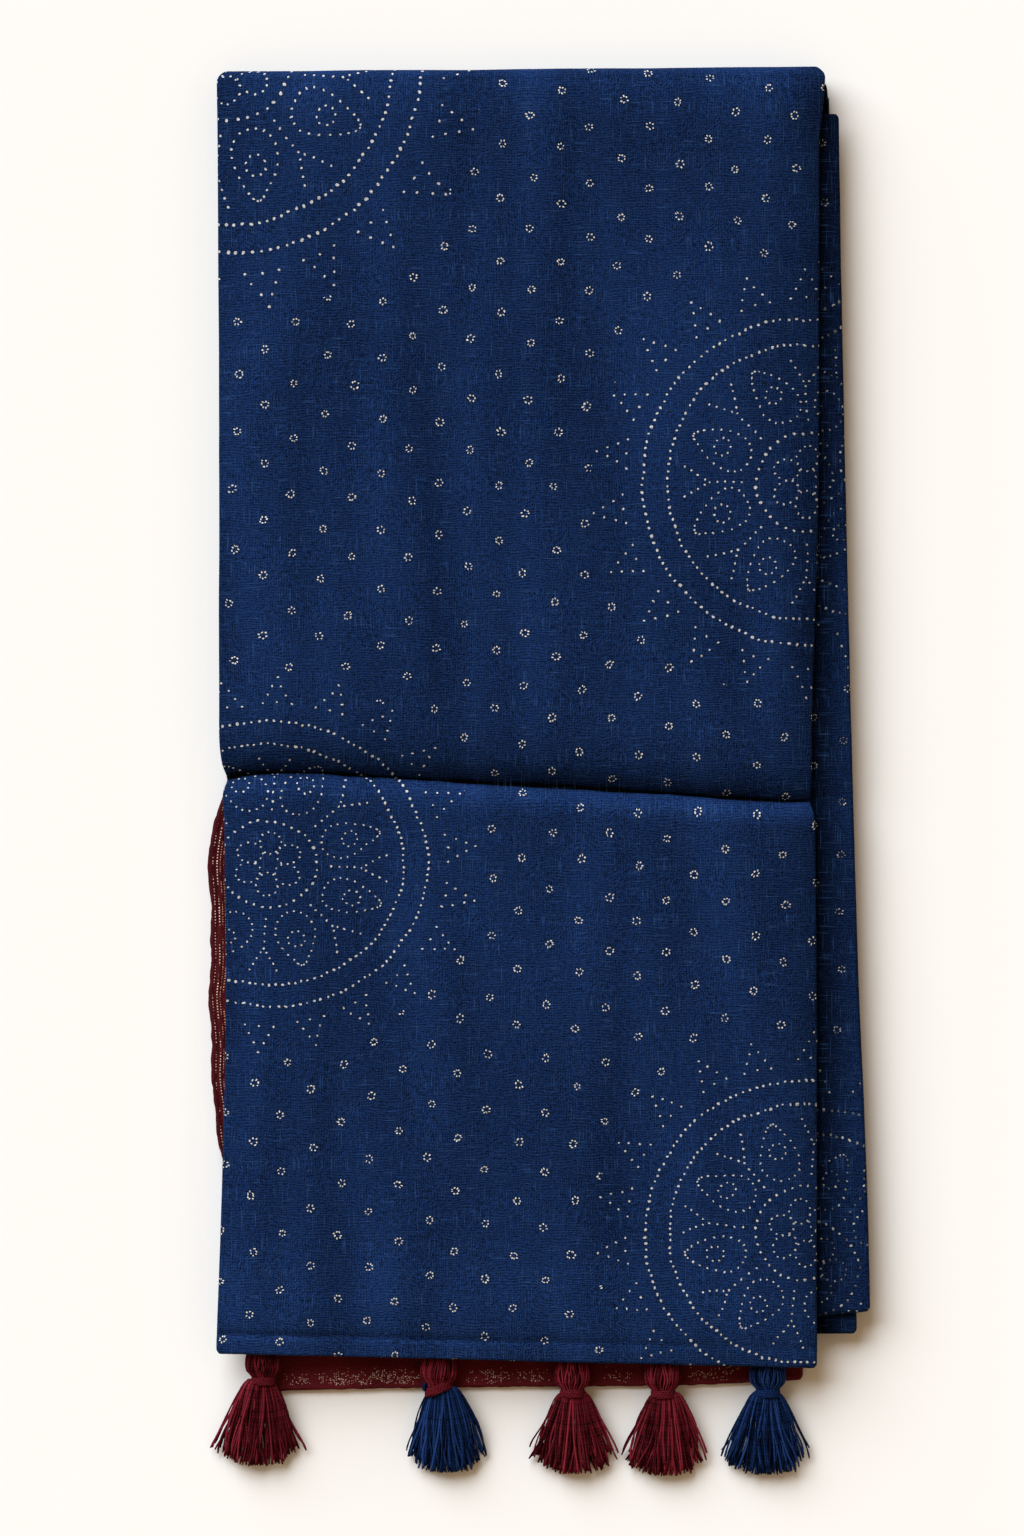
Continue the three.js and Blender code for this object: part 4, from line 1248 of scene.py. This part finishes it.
# Plied cotton yarn
def yarnCloth(name, dark, light):
    paint = Paint(name)
    around, along, _ = paint.split(paint.flat())
    tone = paint.told("tone")
    twist = (around * (2 * turn) + along * (turn / 1.7)).sin()
    fibres = paint.noise(paint.vector(around * 9, along / 2.4), 1.0, 3.0)
    # Besides its bump, the twist adds a painted highlight along the ridges of the plies
    strength = (tone * tone * 0.9 + twist * 0.12 + fibres * 0.8 - 0.3).within(0, 1)
    colour = paint.blend(strength, dark, light)
    return paint.finish({
        "Base Color": colour,
        "Roughness": 0.94 - fibres * 0.1,
        "Normal": paint.bump(twist * 0.4 + fibres * 0.6, 0.14 * mm),
        "Specular IOR Level": 0.02,
    })


# Where each stretch's medallions lie on its flat cloth
medallionsOn = {
    "top": [(-148, 339, 1.16, 1.16, 0.13), (127.5, 138.7, 1, 1, 0), (-129.8, -44.6, 0.97, 0.875, 0.05),
            (125.5, -221.5, 0.96, 0.93, 0.9)],
    "second": [(168, 150, 1, 1, 0.2), (130, -239, 0.98, 0.98, 0.6)],
    "third": [(150, -60, 1, 1, 0.4), (-150, 200, 1, 1, 0.8), (140, 300, 1, 1, 0.2)],
    "inner": [(150, 60, 1, 1, 0.4), (-150, -120, 1, 1, 0.8)],
}
cloths = {
    name: bandhaniCloth("indigo_bandhani_" + name, places, float(number), 0.76 * (name != "top"))
    for number, (name, places) in enumerate(medallionsOn.items())
}
endZari = zariCloth("maroon_zari_end", True, endSpecks)
# The side border is the same cloth as the end border, darkened to 0.56 as painted shade where it shows
# from under the top stretch's edge
sideZari = zariCloth("maroon_zari_side", False, sideSpecks, 0.56)
# The darkest and the palest colour of each yarn
yarnColours = {
    "maroon_yarn": ((0.008, 0.0006, 0.0011, 1), (0.226, 0.02, 0.034, 1)),
    "blue_yarn": ((0.0006, 0.0022, 0.009, 1), (0.0146, 0.0447, 0.174, 1)),
}
yarns = {name: yarnCloth(name, dark, light) for name, (dark, light) in yarnColours.items()}
print("materials made")


def dress(piece, material, slot, *nodes):
    piece.data.materials.append(material)
    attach(piece, "root")
    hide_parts(*nodes)
    print("made", piece.name, len(piece.data.polygons), "faces")
    return piece


top = dress(topStretch(), cloths["top"], "ground_cloth", "top_stretch")
second = dress(lowerStretch("second"), cloths["second"], "ground_cloth", "second_stretch")
third = dress(lowerStretch("third"), cloths["third"], "ground_cloth", "third_stretch")
inner = dress(innerFolds(), cloths["inner"], "ground_cloth", "inner_folds")
endStrip = dress(endBorderStrip(), endZari, "zari_border", "end_border")
sideStrip = dress(sideBorderStrip(), sideZari, "zari_border", "side_border")

# The parts of the tassels that are blue, and the second one's slanting wrap
blueParts = {"tassel_2": ("skirt", "knot"), "tassel_5": ("head", "wrap", "skirt")}
slanting = {"tilt": 2.6, "size": 1.12}
for node, place in tasselPlaces.items():
    parts = {"head": tasselHead(place), "wrap": tasselWrap(place), "skirt": tasselSkirt(place)}
    if node == "tassel_2":
        parts["wrap"] = tasselWrap(place, **slanting)
        parts["knot"] = tasselKnot(place)
    for part, bundle in parts.items():
        slot = "blue_yarn" if part in blueParts.get(node, ()) else "maroon_yarn"
        dress(bundle.build(node + "_" + part), yarns[slot], slot, node)

print("pieces made")


# The table, the light and the camera
studio = {
    "table": (0.93, 0.93, 0.92, 1),
    "tableGrain": (0.88, 0.86, 0.82, 1),
    "sky": (1.0, 0.69, 0.4, 1),
    "skyStrength": 0.36,
    "sun": 5.25,
    "sunColour": (0.85, 0.92, 0.985),
    "sunAngle": 60,  # how soft its shadows are, in degrees
    "sunFrom": (-0.84, 1.2, 0.9),
    "cameraHeight": 8,
    "aim": (-13.4, 1.4),
    "viewLength": 737.3,  # what the long side of the picture takes in, at the height of the edges
    "edgeHeight": 15,
}
bpy.ops.object.select_all(action="DESELECT")
bpy.ops.mesh.primitive_plane_add(size=8, location=(0, 0, -0.0002))
table = bpy.context.active_object
table.name = "table"
tablePaint = Paint("pale_table")
grain = tablePaint.noise(tablePaint.node("ShaderNodeTexCoord", None, (), out=3), 3.0, 2.0)
tableColour = tablePaint.blend(grain * 0.03, studio["table"], studio["tableGrain"])
tableLook = {"Base Color": tableColour, "Roughness": 0.95, "Specular IOR Level": 0.1}
table.data.materials.append(tablePaint.finish(tableLook))

sunData = bpy.data.lights.new("sun", "SUN")
sunData.energy = studio["sun"]
sunData.color = studio["sunColour"]
sunData.angle = math.radians(studio["sunAngle"])
sun = inScene("sun", sunData)
sun.rotation_euler = Vector(studio["sunFrom"]).to_track_quat("Z", "Y").to_euler()

world = bpy.data.worlds.new("room")
world.use_nodes = True
background = world.node_tree.nodes["Background"].inputs
background["Color"].default_value = studio["sky"]
background["Strength"].default_value = studio["skyStrength"]
bpy.context.scene.world = world
bpy.context.scene.view_settings.view_transform = "Standard"

cameraData = bpy.data.cameras.new("camera")
cameraData.sensor_width = 36
toPacket = studio["cameraHeight"] - studio["edgeHeight"] * mm
cameraData.lens = cameraData.sensor_width * toPacket / (studio["viewLength"] * mm)
cameraData.clip_end = 20
camera = inScene("camera", cameraData)
camera.location = (studio["aim"][0] * mm, studio["aim"][1] * mm, studio["cameraHeight"])
bpy.context.scene.camera = camera
